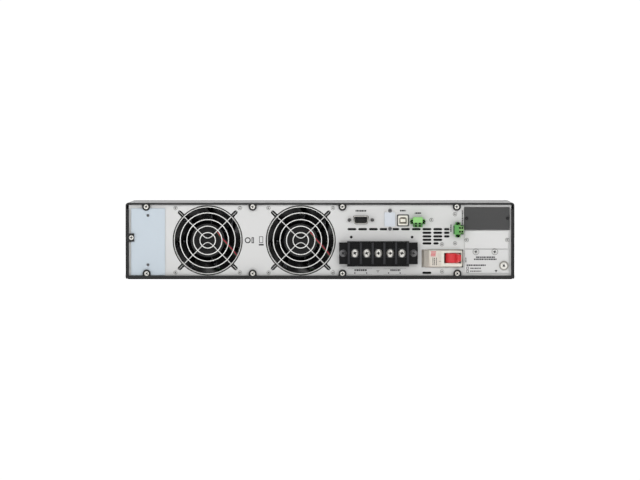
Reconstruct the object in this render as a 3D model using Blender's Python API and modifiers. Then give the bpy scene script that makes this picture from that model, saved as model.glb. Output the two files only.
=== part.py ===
"""A 2U rackmount UPS power module, made of its separate pieces.

Frame: the rear panel looks along -Y, +X is to the right when the rear panel is looked at, +Z is up, and the
origin lies under the middle of the whole unit. Places below are in millimetres, with y counted inwards from
the rear edge of the case and z from the underside; place() turns them into world metres.
"""

import math

import bmesh
import bpy
from mathutils import Matrix, Vector

MM = 0.001
GAP = 0.3  # clearance kept between pieces that touch

# Case
CASE_WIDTH = 432.0
CASE_HEIGHT = 85.0
CASE_DEPTH = 555.0
BEZEL_DEPTH = 28.0
REAR_REACH = 17.0  # how far the terminal block stands out of the case
SHEET = 1.5
RIM_SIDE = 2.0
LIP_TOP = 2.4
LIP_BOTTOM = 4.1
BEND_RADIUS = 3.0
TRAY_WALL_TOP = 78.0
REAR_EDGE = -(CASE_DEPTH + BEZEL_DEPTH - REAR_REACH) / 2  # world y of the case's rear edge

HALF = CASE_WIDTH / 2
TRAY_HALF = HALF - SHEET - GAP
PANEL_HALF = TRAY_HALF - SHEET - GAP

# Layers behind the rear edge
COVER_PLATE = (1.8, 2.8)
PANEL = (3.1, 4.3)
GUARD_RINGS = (4.7, 6.3)
GUARD_LEGS_Y = 6.9
FAN_REAR = 8.0

# Cover screws and their round tabs
TAB_RADIUS = 4.5
SCREW_RADIUS = 2.9
SCREW_SHANK = 1.4
TOP_TABS = (-193.2, -74.8, 24.9, 152.0)
BOTTOM_TABS = (-192.6, -74.8, 25.0, 152.6)
TOP_TAB_Z = 80.5
BOTTOM_TAB_Z = 6.4
SIDE_TAB = (-209.6, 46.3)
SIDE_TAB_SIZE = (6.4, 9.0)
TOP_SCREWS = [(x, TOP_TAB_Z) for x in TOP_TABS]
BOTTOM_SCREWS = [(x, BOTTOM_TAB_Z) for x in BOTTOM_TABS]
EAR_HOLE_RADIUS = 2.2
EAR_HOLE_Z = (22.0, 60.0)
EAR_HOLES_FROM_FRONT = (45.0, 20.0)

# Fans
FAN_X = (-124.8, -21.4)
FAN_Z = 43.2
FAN_SIZE = 79.6
FAN_DEPTH = 25.0
FAN_BORE = 38.0
FAN_HUB = 19.0
BLADES = 7
STRUT_TWIST = math.radians(27)
GUARD_RADII = (8.6, 15.8, 23.1, 30.5, 37.2)
GUARD_SLOT_HALF = 2.2
GUARD_SLOT_TIP = 46.2
WIRE = 1.7
LEAD_WIRE = 1.4
MOTOR_SEAT = (2.2, 5.6)  # its two ends, counted in from the fan's rear face
ARM = (2.5, 5.5)
ARM_WIDTH = 3.2
LEAD_NOTCH = (28.0, -21.0, -15.6, 3.0)  # left side, bottom, top and depth, from the fan's middle and face
ROTOR = (6.2, 23.2)
BLADE_SIZE = (20.0, 18.5, 1.4)
BLADE_MIDDLE = 26.5
BLADE_PITCH = math.radians(42)
LEAD_ROUTE = (
    (17.5, 9.2, 0.6),
    (24.0, 9.2, -6.4),
    (30.0, 9.2, -13.6),
    (33.5, 9.2, -17.6),
    (37.5, 9.2, -18.6),
    (41.0, 9.8, -18.8),
    (43.0, 12.7, -19.2),
    (43.4, 18.2, -20.0),
    (43.4, 29.2, -22.5),
    (43.0, 41.2, -26.0),
    (42.6, 51.2, -28.6),
    (42.4, 57.2, -30.4),
)

# Terminal block
BLOCK_X = (21.3, 108.6)
BLOCK_Z = (16.7, 40.9)
STRIP_X = (30.2, 99.0)
STRIP_Z = (14.1, 42.2)
BARRIER_X = (32.0, 45.4, 58.5, 71.5, 84.5, 97.6)
BARRIER = 2.4
BLOCK_FRONT = -REAR_REACH
EAR_FRONT = -4.0
STRIP_FRONT = -2.4
CELL_FLOOR = -6.0
TERMINAL_Z = 28.9
CLAMP_HALF = (4.7, 5.0)
CLAMP_THICK = 1.2
CLAMP_HEAD_RADIUS = 4.0
CLAMP_HEAD_HEIGHT = 3.1

# Breaker
BREAKER_NOSE = (113.8, 158.1)
BREAKER_Z = (14.1, 32.1)
BREAKER_FRONT = -2.0
BREAKER_BODY_X = (96.0, 176.0)
BREAKER_BODY_Y = (5.1, 62.0)
BREAKER_CUTOUT = ((112.8, 13.2), (159.1, 33.0))
SHOULDER_RADIUS = 9.2
TOGGLE_WINDOW_X = (137.8, 157.0)
TOGGLE_WINDOW_DEPTH = 14.0
TOGGLE_AXIS = (147.4, 4.5)
TOGGLE_RADIUS = 8.5
TOGGLE_Z = (18.2, 28.9)
TOGGLE_REACH = 15.0
TOGGLE_HALF = 2.2
TOGGLE_TAPER = 9.5  # where the lever starts to narrow
TOGGLE_TIP_HALF = 3.5
TOGGLE_LEAN = math.radians(30)

# Ports
SERIAL_CENTRE = (45.4, 65.8)
USB_CENTRE = (92.2, 65.3)
EPO_CENTRE = (108.65, 64.0)
DETECT_CENTRE = (153.3, 55.0)
SERIAL_FACE = (17.1, 8.5)
SERIAL_WALL = 0.6
SERIAL_LINER = 0.35
USB_HALF = 6.2
USB_HOLLOW_HALF = 4.5
USB_HOLLOW_CORNER = 1.9
USB_TONGUE_HALF = (2.8, 1.7)
PLUG_FLANGE = (8.35, 2.9)
PLUG_BODY = ((-5.3, -1.4), (5.3, 5.0))
PLUG_ENTRY = ((-3.8, -6.2), (3.8, -1.0))
SOCKET_BODY = ((-5.3, -6.2), (5.3, 5.0))
SOCKET_PINS = (4.6, 3.6)
SOCKET_DEPTH = 3.6
PLUG_DEPTH = 8.0
PLUG_SCREW_OUT = 6.5
PLUG_SCREW_RADIUS = 1.3
WIRE_HOLE_OUT = 2.1
WIRE_HOLE_HALF = (1.15, 0.95)
WIRE_HOLE_LEVELS = (-2.1, -4.7)

# Ventilation slots and small holes in the rear panel
SLOT_LENGTH = 10.5
SLOT_PITCH = 11.9
SLOT_HEIGHT = 2.55
SLOT_ROWS = (55.6, 51.6, 47.6, 43.8, 39.8)
FIRST_SLOT_X = 35.5
SLOT_COLUMNS = (118.8, 130.8, 140.8)
HALF_SLOT = (128.9, 6.6)
SHORT_SLOT_LENGTH = 6.8
LONE_SLOT = (118.7, 7.1)
SPARE_HOLES = ((34.7, 46.8), (102.3, 46.8))
SPARE_HOLE_RADIUS = 1.6

# Plates on the rear panel, each as its lower left and upper right corner
BATTERY_PLATE = ((-209.8, LIP_BOTTOM + GAP), (-172.1, TOP_TAB_Z - SCREW_SHANK - GAP))
COMM_PLATE = ((71.4, 58.4), (83.7, 74.5))
COMM_PLATE_SCREWS = ((77.6, 55.9), (77.6, 76.2))
COMM_TAB_RADIUS = 3.2
SLOT_COVER = ((159.9, 54.8), (210.8, 80.2))
BLANK_PLATE = ((160.6, 33.9), (209.5, 53.9))
INPUT_PLATE = ((160.6, 6.8), (209.5, 33.2))
EARTH_SCREW = (204.3, 15.1)
EARTH_HOLE_RADIUS = 2.6

# Front
BEZEL_FACE = 4.0
DISPLAY_HALF = 60.0
DISPLAY_Z = (12.0, 73.0)
WINDOW_HALF = 45.0
WINDOW_Z = (32.0, 68.0)
BUTTON_X = (-33.0, -11.0, 11.0, 33.0)
BUTTON_Z = 21.0
BUTTON_SIZE = (14.0, 7.0)
BUTTON_DEPTH = 7.6
BEZEL_WALL = 3.0
RECESS_DEPTH = 2.0
WINDOW_THICK = 3.6
GRILLE_X = (70.0, 206.0)
GRILLE_ROWS = 9
GRILLE_FIRST_Z = 12.5
GRILLE_PITCH = 7.5
GRILLE_HEIGHT = 3.5
DISPLAY_BOARD = ((-55.0, 14.0), (55.0, 71.0))
DISPLAY_BOARD_Y = (11.6, 10.0)  # how far behind the bezel's face
FRAME_Y = (3.5, 2.0)  # how far behind the case's front edge
FRAME_WINDOW = ((-50.0, 20.0), (50.0, 65.0))
AIR_COLUMNS = (82.0, 116.0, 150.0, 184.0)
AIR_ROWS = (12.0, 46.0)
AIR_SIZE = 28.0

# Inside
BOARD_Z = (9.5, 11.1)
BOARD_TOP = BOARD_Z[1] + GAP
MAIN_BOARD = ((-205.0, 66.0), (205.0, 500.0))
COMM_BOARD = ((36.0, 14.0), (122.0, 110.0))
COMM_BOARD_Z = (57.2, 58.8)
POST_X = (-195.0, -65.0, 65.0, 195.0)
POST_Y = (70.0, 480.0)
POST_RADIUS = 3.5
FINS = 10
FIN_PITCH = 7.6
FIN_THICK = 2.0
FIN_TOP = 72.0
FIN_ROOT = 17.0
HEATSINK_Y = (70.0, 290.0)
INDUCTORS = ((70.0, 160.0), (136.0, 160.0))
INDUCTOR_RING = (10.0, 25.0, 13.0)  # inner radius, outer radius and half height
RING_CHAMFER = (2.0, 3.0)
CAPACITORS = ((60.0, 250.0), (100.0, 250.0), (140.0, 250.0))
CAPACITOR_SIZE = (17.5, 25.0)  # radius and half height
RELAY = ((60.0, 320.0), (110.0, 352.0), 38.0)

for old in list(bpy.data.objects):
    bpy.data.objects.remove(old, do_unlink=True)

PARTS = bpy.data.collections.new("rackmount_ups")
CUTTERS = bpy.data.collections.new("cutters")
bpy.context.scene.collection.children.link(PARTS)
bpy.context.scene.collection.children.link(CUTTERS)


# Materials ---------------------------------------------------------------------------------------------------


def linear(channel):
    """A screen colour channel, 0 to 255, as a linear value."""
    value = channel / 255
    return value / 12.92 if value <= 0.04045 else ((value + 0.055) / 1.055) ** 2.4


def paint(name, colour, roughness, metallic=0.0):
    material = bpy.data.materials.new(name)
    material.use_nodes = True
    shader = material.node_tree.nodes["Principled BSDF"]
    rgba = (*[linear(channel) for channel in colour], 1.0)
    shader.inputs["Base Color"].default_value = rgba
    shader.inputs["Roughness"].default_value = roughness
    shader.inputs["Metallic"].default_value = metallic
    material.diffuse_color = rgba
    return material


CHARCOAL = paint("charcoal_powder_coat", (48, 48, 48), 0.55)
PANEL_GREY = paint("light_grey_panel", (216, 216, 215), 0.5)
FILM = paint("plate_under_film", (203, 211, 218), 0.35)
DARK_PLATE = paint("dark_plate", (79, 79, 79), 0.5)
BLACK_PLASTIC = paint("black_plastic", (24, 24, 25), 0.45)
GLOSS_BLACK = paint("terminal_black", (22, 22, 25), 0.25)
NICKEL = paint("nickel", (200, 198, 190), 0.25, 1.0)
WIRE_CHROME = paint("guard_wire", (235, 235, 232), 0.2, 1.0)
BEIGE = paint("breaker_beige", (222, 216, 206), 0.45)
RED = paint("toggle_red", (214, 50, 56), 0.4)
GREEN = paint("connector_green", (118, 188, 100), 0.4)
DARK_GREEN = paint("detect_green", (84, 150, 80), 0.4)
LEAD_RED = paint("lead_red", (190, 40, 60), 0.5)
OFF_WHITE = paint("usb_white", (240, 238, 228), 0.5)
BOARD_GREEN = paint("board_green", (40, 90, 60), 0.5)
ALUMINIUM = paint("heatsink_aluminium", (190, 192, 195), 0.35, 1.0)
COPPER = paint("winding_copper", (184, 115, 60), 0.4, 1.0)
SLEEVE = paint("capacitor_sleeve", (36, 46, 70), 0.4)
DISPLAY = paint("display_black", (14, 16, 20), 0.1)


# Shapes ------------------------------------------------------------------------------------------------------


def place(x, y, z):
    """World metres of a point given in the rear-panel places."""
    return Vector((x, y + REAR_EDGE, z)) * MM


def helper(name, mesh, location=(0, 0, 0), rotation=(0, 0, 0)):
    """An object that stays hidden until finish() makes it a piece."""
    obj = bpy.data.objects.new(name, mesh)
    obj.location = location
    obj.rotation_euler = rotation
    obj.hide_render = True
    obj.display_type = "WIRE"
    CUTTERS.objects.link(obj)
    return obj


def mesh_from(name, shape):
    mesh = bpy.data.meshes.new(name)
    shape.to_mesh(mesh)
    shape.free()
    return mesh


def block(name, low, high):
    """A box between two corners, with its origin in its middle."""
    size = [b - a for a, b in zip(low, high, strict=True)]
    middle = [(a + b) / 2 for a, b in zip(low, high, strict=True)]
    shape = bmesh.new()
    bmesh.ops.create_cube(shape, size=1.0)
    bmesh.ops.scale(shape, vec=Vector(size) * MM, verts=shape.verts)
    return helper(name, mesh_from(name, shape), place(*middle))


AXIS_TURN = {
    "X": Matrix.Rotation(math.pi / 2, 4, "Y"),
    "Y": Matrix.Rotation(math.pi / 2, 4, "X"),
    "Z": Matrix.Identity(4),
}


def rod(name, centre, radius, length, axis="Y", sides=16):
    """A cylinder about its centre, along the named axis."""
    shape = bmesh.new()
    bmesh.ops.create_cone(
        shape,
        cap_ends=True,
        segments=sides,
        radius1=radius * MM,
        radius2=radius * MM,
        depth=length * MM,
        matrix=AXIS_TURN[axis],
    )
    return helper(name, mesh_from(name, shape), place(*centre))


def weld(mesh):
    shape = bmesh.new()
    shape.from_mesh(mesh)
    bmesh.ops.remove_doubles(shape, verts=shape.verts, dist=1e-6)
    bmesh.ops.recalc_face_normals(shape, faces=shape.faces)
    shape.to_mesh(mesh)
    shape.free()


def mesh_of_curve(guide):
    """Turns a curve object into a welded mesh object in the same place."""
    bpy.context.view_layer.update()
    evaluated = guide.evaluated_get(bpy.context.evaluated_depsgraph_get())
    mesh = bpy.data.meshes.new_from_object(evaluated)
    weld(mesh)
    name = guide.name
    place_in_world = guide.matrix_world.copy()
    curve = guide.data
    bpy.data.objects.remove(guide, do_unlink=True)
    bpy.data.curves.remove(curve)
    solid = helper(name, mesh)
    solid.matrix_world = place_in_world
    return solid


def extruded(name, outlines, start, end, axis="Y"):
    """A flat outline with any holes, given as (x, z), (x, y) or (y, z) lists, drawn out along the axis."""
    curve = bpy.data.curves.new(name, "CURVE")
    curve.dimensions = "2D"
    curve.fill_mode = "BOTH"
    curve.extrude = (end - start) * MM / 2
    for outline in outlines:
        spline = curve.splines.new("POLY")
        spline.points.add(len(outline) - 1)
        for point, (u, v) in zip(spline.points, outline, strict=True):
            point.co = (u * MM, v * MM, 0, 1)
        spline.use_cyclic_u = True
    guide = bpy.data.objects.new(name, curve)
    bpy.context.scene.collection.objects.link(guide)
    middle = (start + end) / 2
    if axis == "Y":
        guide.rotation_euler = (math.pi / 2, 0, 0)
        guide.location = place(0, middle, 0)
    elif axis == "Z":
        guide.location = place(0, 0, middle)
    else:
        guide.rotation_euler = (math.pi / 2, 0, math.pi / 2)
        guide.location = place(middle, 0, 0)
    return mesh_of_curve(guide)


def tube(name, points, diameter, sides=8):
    """A round wire through the points, with closed ends."""
    curve = bpy.data.curves.new(name, "CURVE")
    curve.dimensions = "3D"
    curve.bevel_depth = diameter * MM / 2
    curve.bevel_resolution = sides // 2 - 2
    curve.use_fill_caps = True
    spline = curve.splines.new("POLY")
    spline.points.add(len(points) - 1)
    for point, spot in zip(spline.points, points, strict=True):
        point.co = (*place(*spot), 1)
    guide = bpy.data.objects.new(name, curve)
    bpy.context.scene.collection.objects.link(guide)
    return mesh_of_curve(guide)


def turned(name, profile, location, steps, rotation=(math.pi / 2, 0, 0), ring=False):
    """A turned piece from a profile of (radius, height), top first; by default its top looks out of the rear.
    A ring's profile is a loop, which is closed here."""
    shape = bmesh.new()
    points = [shape.verts.new((radius * MM, 0, height * MM)) for radius, height in profile]
    for first, second in zip(points, points[1:] + points[:1] * ring):
        shape.edges.new((first, second))
    obj = helper(name, mesh_from(name, shape), place(*location), rotation)
    screw = obj.modifiers.new("turn", "SCREW")
    screw.steps = steps
    screw.render_steps = steps
    screw.use_merge_vertices = True
    screw.merge_threshold = 1e-5
    return obj


def joined(name, helpers):
    """Several helpers that don't meet, as one helper."""
    shape = bmesh.new()
    for one in helpers:
        before = len(shape.verts)
        shape.from_mesh(one.data)
        shape.verts.ensure_lookup_table()
        bmesh.ops.transform(shape, matrix=one.matrix_basis, verts=shape.verts[before:])
        bpy.data.objects.remove(one, do_unlink=True)
    return helper(name, mesh_from(name, shape))


def finish(obj, material, add=(), cut=(), soften=0.0):
    """Makes a helper a piece of the unit: rounds its edges, joins and cuts it, and gives it its material."""
    if soften:
        bevel = obj.modifiers.new("soften", "BEVEL")
        bevel.width = soften * MM
        bevel.segments = 2
    for operation, others in (("UNION", add), ("DIFFERENCE", cut)):
        for other in others:
            boolean = obj.modifiers.new(operation.lower(), "BOOLEAN")
            boolean.operation = operation
            boolean.solver = "EXACT"
            boolean.object = other
    obj.data.materials.clear()
    obj.data.materials.append(material)
    obj.hide_render = False
    obj.display_type = "TEXTURED"
    CUTTERS.objects.unlink(obj)
    PARTS.objects.link(obj)
    return obj


def smooth(obj):
    """Shades a round piece smooth; a turned piece takes it from its Screw modifier."""
    for modifier in obj.modifiers:
        if modifier.type == "SCREW":
            modifier.use_smooth_shade = True
    if obj.data.polygons:
        obj.data.shade_smooth()
        obj.data.set_sharp_from_angle(angle=math.radians(35))
    return obj


# Outlines ----------------------------------------------------------------------------------------------------


def rectangle(low, high):
    return [(low[0], low[1]), (high[0], low[1]), (high[0], high[1]), (low[0], high[1])]


def arc(centre, radius, start, end, steps):
    """Points of an arc, angles in degrees."""
    angles = [math.radians(start + (end - start) * i / steps) for i in range(steps + 1)]
    return [(centre[0] + radius * math.cos(a), centre[1] + radius * math.sin(a)) for a in angles]


def circle(centre, radius, sides=16):
    return arc(centre, radius, 0, 360, sides)[:-1]


def stadium(centre, length, height, steps=3):
    """A slot with round ends."""
    radius = height / 2
    reach = length / 2 - radius
    right = arc((centre[0] + reach, centre[1]), radius, -90, 90, steps)
    left = arc((centre[0] - reach, centre[1]), radius, 90, 270, steps)
    return right + left


def rounded(low, high, radius, steps=3):
    corners = (
        ((high[0] - radius, low[1] + radius), -90),
        ((high[0] - radius, high[1] - radius), 0),
        ((low[0] + radius, high[1] - radius), 90),
        ((low[0] + radius, low[1] + radius), 180),
    )
    points = []
    for centre, start in corners:
        points += arc(centre, radius, start, start + 90, steps)
    return points


# Case --------------------------------------------------------------------------------------------------------


def screw_holes(places):
    return [circle(spot, SCREW_SHANK + GAP, 10) for spot in places]


def screw_bores(places):
    return [rod("screw_bore", (x, SHEET / 2, z), SCREW_SHANK + GAP, 2 * SHEET, "Y", 10) for x, z in places]


def tab(spot, edge_z):
    """A round screw tab that reaches from the edge of the sheet to the screw."""
    x, z = spot
    start = 180 if edge_z > z else 0
    outline = arc(spot, TAB_RADIUS, start, start + 180, 10)
    ends = [(x + TAB_RADIUS, edge_z), (x - TAB_RADIUS, edge_z)]
    return extruded("tab", [outline + (ends if start else ends[::-1])], 0, SHEET)


def cover_section(inner_top, half_inner, bend_inner):
    """The cover's cross-section: an upside-down channel with bent corners."""
    outer = [(HALF, 0)] + arc((HALF - BEND_RADIUS, CASE_HEIGHT - BEND_RADIUS), BEND_RADIUS, 0, 90, 4)
    outer += arc((BEND_RADIUS - HALF, CASE_HEIGHT - BEND_RADIUS), BEND_RADIUS, 90, 180, 4) + [(-HALF, 0)]
    inner = [(-half_inner, 0), (-half_inner, inner_top - bend_inner), (bend_inner - half_inner, inner_top)]
    mirrored = [(-x, z) for x, z in reversed(inner)]
    return outer, inner, mirrored


def make_top_cover():
    half_inner = HALF - SHEET
    outer, inner, mirrored = cover_section(CASE_HEIGHT - SHEET, half_inner, BEND_RADIUS - SHEET)
    shell = extruded("top_cover", [outer + inner + mirrored], SHEET - 0.5, CASE_DEPTH)
    lip_z = CASE_HEIGHT - LIP_TOP
    rim = outer + [(-half_inner, 0), (-half_inner, lip_z), (half_inner, lip_z), (half_inner, 0)]
    rear = extruded("cover_rear_edge", [rim], 0, SHEET)
    half_wide, half_high = SIDE_TAB_SIZE[0] / 2, SIDE_TAB_SIZE[1] / 2
    side_low = (-half_inner - 0.5, 0, SIDE_TAB[1] - half_high)
    side_high = (SIDE_TAB[0] + half_wide, SHEET, SIDE_TAB[1] + half_high)
    tabs = [block("side_tab", side_low, side_high)]
    tabs += [tab(spot, lip_z + 1) for spot in TOP_SCREWS]
    screws = screw_bores([*TOP_SCREWS, SIDE_TAB])
    ear_holes = []
    for side in (-1, 1):
        for back in EAR_HOLES_FROM_FRONT:
            for z in EAR_HOLE_Z:
                spot = (side * (HALF - SHEET / 2), CASE_DEPTH - back, z)
                ear_holes.append(rod("ear_hole", spot, EAR_HOLE_RADIUS, 2 * SHEET, "X", 12))
    finish(shell, CHARCOAL, [rear, joined("cover_tabs", tabs)], [joined("cover_holes", screws + ear_holes)])


def make_base_tray():
    wall = TRAY_HALF - SHEET
    section = [(-TRAY_HALF, TRAY_WALL_TOP), (-TRAY_HALF, SHEET), (-TRAY_HALF + SHEET, 0)]
    section += [(-x, z) for x, z in reversed(section)]
    hollow = [(wall, TRAY_WALL_TOP), (wall, SHEET), (-wall, SHEET), (-wall, TRAY_WALL_TOP)]
    channel = extruded("base_tray", [section + hollow], SHEET - 0.5, CASE_DEPTH)
    inner = TRAY_HALF - RIM_SIDE
    rim = section + [(inner, TRAY_WALL_TOP), (inner, LIP_BOTTOM)]
    rim += [(-inner, LIP_BOTTOM), (-inner, TRAY_WALL_TOP)]
    rear = extruded("tray_rear_edge", [rim], 0, SHEET)
    tabs = [tab(spot, LIP_BOTTOM - 1) for spot in BOTTOM_SCREWS]
    screws = screw_bores(BOTTOM_SCREWS)
    half_tab = SIDE_TAB_SIZE[1] / 2 + GAP
    post_top = BOARD_Z[0] - GAP
    posts = []
    for x in POST_X:
        for y in POST_Y:
            posts.append(rod("post", (x, y, (1.0 + post_top) / 2), POST_RADIUS, post_top - 1.0, "Z", 12))
    notch_low = (-TRAY_HALF - 1, -1, SIDE_TAB[1] - half_tab)
    notch_high = (-TRAY_HALF + 4, SHEET + GAP, SIDE_TAB[1] + half_tab)
    notch = block("side_tab_notch", notch_low, notch_high)
    adds = [rear, joined("tray_tabs", tabs), joined("board_posts", posts)]
    finish(channel, CHARCOAL, adds, [joined("tray_cuts", [notch, *screws])])


def fan_cutout(x):
    """The round fan hole with its four diagonal slots, as one outline."""
    tip = GUARD_SLOT_TIP - GUARD_SLOT_HALF
    half_angle = math.degrees(math.asin(GUARD_SLOT_HALF / FAN_BORE))
    points = []
    for corner in range(4):
        middle = 45 + 90 * corner
        direction = (math.cos(math.radians(middle)), math.sin(math.radians(middle)))
        end = (x + tip * direction[0], FAN_Z + tip * direction[1])
        points += arc((x, FAN_Z), FAN_BORE, middle - 90 + half_angle, middle - half_angle, 12)
        points += arc(end, GUARD_SLOT_HALF, middle - 90, middle + 90, 4)
    return points


def slot_places():
    """Middles and lengths of the ventilation slots beside and above the terminal block."""
    for step in range(7):
        yield (FIRST_SLOT_X + SLOT_PITCH * step, SLOT_ROWS[0]), SLOT_LENGTH
    first, second, third = SLOT_COLUMNS
    for column, rows in ((first, SLOT_ROWS), (second, SLOT_ROWS[:4])):
        for z in rows:
            yield (column, z), SLOT_LENGTH
    yield (HALF_SLOT[0], SLOT_ROWS[4]), HALF_SLOT[1]
    for z in SLOT_ROWS[:3]:
        yield (third, z), SHORT_SLOT_LENGTH
    yield LONE_SLOT, SLOT_LENGTH


def make_rear_panel():
    outlines = [rectangle((-PANEL_HALF, SHEET + GAP), (PANEL_HALF, CASE_HEIGHT - SHEET - GAP))]
    outlines += [fan_cutout(x) for x in FAN_X]
    outlines += [stadium(spot, length, SLOT_HEIGHT, 2) for spot, length in slot_places()]
    outlines += [circle(spot, SPARE_HOLE_RADIUS, 8) for spot in SPARE_HOLES]
    outlines.append(serial_outline(0.5))
    outlines.append(usb_outline(0.5))
    outlines.append(rectangle(*BREAKER_CUTOUT))
    across, up = SOCKET_PINS
    for centre, turn in ((EPO_CENTRE, False), (DETECT_CENTRE, True)):
        low, high = plug_box(centre, turn, (-across - 0.4, -up - 0.4), (across + 0.4, up + 0.4))
        outlines.append(rectangle(low, high))
    outlines += screw_holes([*TOP_SCREWS, *BOTTOM_SCREWS, SIDE_TAB])
    finish(extruded("rear_panel", outlines, *PANEL), PANEL_GREY)


def make_plates():
    battery = rectangle(*BATTERY_PLATE)
    holes = screw_holes(BOTTOM_SCREWS[:1])
    low = (-212.0, COVER_PLATE[0] - 1, SIDE_TAB[1] - 2)
    bite = block("side_screw_bite", low, (-207.6, COVER_PLATE[1] + 1, SIDE_TAB[1] + 2))
    finish(extruded("battery_port_cover", [battery, *holes], *COVER_PLATE), FILM, cut=[bite])
    plate = rectangle(*COMM_PLATE)
    lower = arc(COMM_PLATE_SCREWS[0], COMM_TAB_RADIUS, 160, 380, 8)
    upper = arc(COMM_PLATE_SCREWS[1], COMM_TAB_RADIUS, -20, 200, 8)
    outline = [plate[0], *lower, plate[1], plate[2], *upper, plate[3]]
    finish(extruded("comm_blank_plate", [outline], *COVER_PLATE), FILM)
    finish(extruded("slot_cover", [rectangle(*SLOT_COVER)], *COVER_PLATE), DARK_PLATE)
    finish(extruded("lower_blank_plate", [rectangle(*BLANK_PLATE)], *COVER_PLATE), PANEL_GREY)
    input_plate = [rectangle(*INPUT_PLATE), circle(EARTH_SCREW, EARTH_HOLE_RADIUS, 12)]
    finish(extruded("input_plate", input_plate, *COVER_PLATE), PANEL_GREY)


def make_screws():
    """The pan-head screws that hold the cover and the tray to the rear panel."""
    end = -(PANEL[1] + GAP + 1.0)
    profile = [(0, 2.0), (2.1, 1.5), (SCREW_RADIUS, 0.3), (SCREW_RADIUS, 0)]
    profile += [(SCREW_SHANK, 0), (SCREW_SHANK, end), (0, end)]
    for number, (x, z) in enumerate([*TOP_SCREWS, *BOTTOM_SCREWS, SIDE_TAB], 1):
        screw = turned(f"cover_screw_{number}", profile, (x, -GAP, z), 10)
        finish(smooth(screw), NICKEL)
    earth = [(0, 4.2), (2.6, 4.0), (3.9, 2.9), (3.9, 1.4), (5.25, 1.4), (5.25, 0)]
    earth += [(2.2, 0), (2.2, -0.9), (0, -0.9)]
    x, z = EARTH_SCREW
    finish(smooth(turned("earth_screw", earth, (x, COVER_PLATE[0] - GAP, z), 16)), NICKEL)


# Fans --------------------------------------------------------------------------------------------------------


def strut(name, x, angle):
    """One of the four slanting arms that hold the motor."""
    start = Vector((math.cos(angle), math.sin(angle))) * (FAN_HUB - 3)
    end = Vector((math.cos(angle - STRUT_TWIST), math.sin(angle - STRUT_TWIST))) * (FAN_BORE + 1)
    along = end - start
    half_deep = (ARM[1] - ARM[0]) / 2
    low = (-along.length / 2, -half_deep, -ARM_WIDTH / 2)
    arm = block(name, low, (along.length / 2, half_deep, ARM_WIDTH / 2))
    middle = (start + end) / 2
    arm.location = place(x + middle.x, FAN_REAR + sum(ARM) / 2, FAN_Z + middle.y)
    arm.rotation_euler = (0, -math.atan2(along.y, along.x), 0)
    return arm


def make_fan_frame(number, x):
    half = FAN_SIZE / 2
    front = FAN_REAR + FAN_DEPTH
    frame = extruded(
        f"fan_frame_{number}",
        [rounded((x - half, FAN_Z - half), (x + half, FAN_Z + half), 4, 2), circle((x, FAN_Z), FAN_BORE, 32)],
        FAN_REAR,
        front,
    )
    seat_middle = (x, FAN_REAR + sum(MOTOR_SEAT) / 2, FAN_Z)
    motor = rod("motor_seat", seat_middle, FAN_HUB, MOTOR_SEAT[1] - MOTOR_SEAT[0], "Y", 24)
    arms = [strut("arm", x, math.radians(90 * turn)) for turn in range(4)]
    left, bottom, top, depth = LEAD_NOTCH
    low = (x + left, FAN_REAR - 1, FAN_Z + bottom)
    high = (x + half + 1, FAN_REAR + depth, FAN_Z + top)
    finish(frame, BLACK_PLASTIC, [motor, joined("arms", arms)], [block("lead_notch", low, high)])


def make_fan_rotor(number, x):
    """The hub and its blades, with the origin on the shaft's axis."""
    middle = FAN_REAR + sum(ROTOR) / 2
    rotor = rod(f"fan_rotor_{number}", (x, middle, FAN_Z), FAN_HUB - 0.5, ROTOR[1] - ROTOR[0], "Y", 24)
    blades = []
    for turn in range(BLADES):
        shape = bmesh.new()
        bmesh.ops.create_cube(shape, size=1.0)
        bmesh.ops.scale(shape, vec=Vector(BLADE_SIZE) * MM, verts=shape.verts)
        pitched = Matrix.Rotation(BLADE_PITCH, 4, "X")
        outwards = Matrix.Translation(Vector((BLADE_MIDDLE, 0, 0)) * MM)
        spun = Matrix.Rotation(2 * math.pi * turn / BLADES, 4, "Y")
        bmesh.ops.transform(shape, matrix=spun @ outwards @ pitched, verts=shape.verts)
        blades.append(helper("blade", mesh_from("blade", shape), place(x, middle, FAN_Z)))
    finish(smooth(rotor), BLACK_PLASTIC, [joined("blades", blades)])


def make_fan_guard(number, x):
    """Five wire rings on two bent legs, held between the panel and the fan."""
    rings = []
    for radius in GUARD_RADII:
        sides = int(radius * 0.4) + 9
        outlines = [circle((x, FAN_Z), radius + way * WIRE / 2, sides) for way in (1, -1)]
        rings.append(extruded("guard_ring", outlines, *GUARD_RINGS))
    legs = []
    for side in (1, -1):
        bend = [(-34.5, 34.5), (-8.0, 8.0), (-4.6, 4.4), (-2.0, 2.9), (0.0, 2.5)]
        bend += [(-u, v) for u, v in reversed(bend[:-1])]
        route = [(x + u, GUARD_LEGS_Y, FAN_Z + side * v) for u, v in bend]
        legs.append(tube("guard_leg", route, WIRE, 4))
    guard = rings.pop()
    guard.name = f"fan_guard_{number}"
    finish(guard, WIRE_CHROME, [joined("rings", rings), joined("legs", legs)])


def make_fan_lead(number, x):
    """The fan's lead: along the right arm, out by the notch and down to the power board."""
    route = [(x + u, y, FAN_Z + v) for u, y, v in LEAD_ROUTE]
    lead = tube(f"fan_lead_{number}", route, LEAD_WIRE)
    finish(smooth(lead), LEAD_RED)


# Connectors --------------------------------------------------------------------------------------------------


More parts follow.
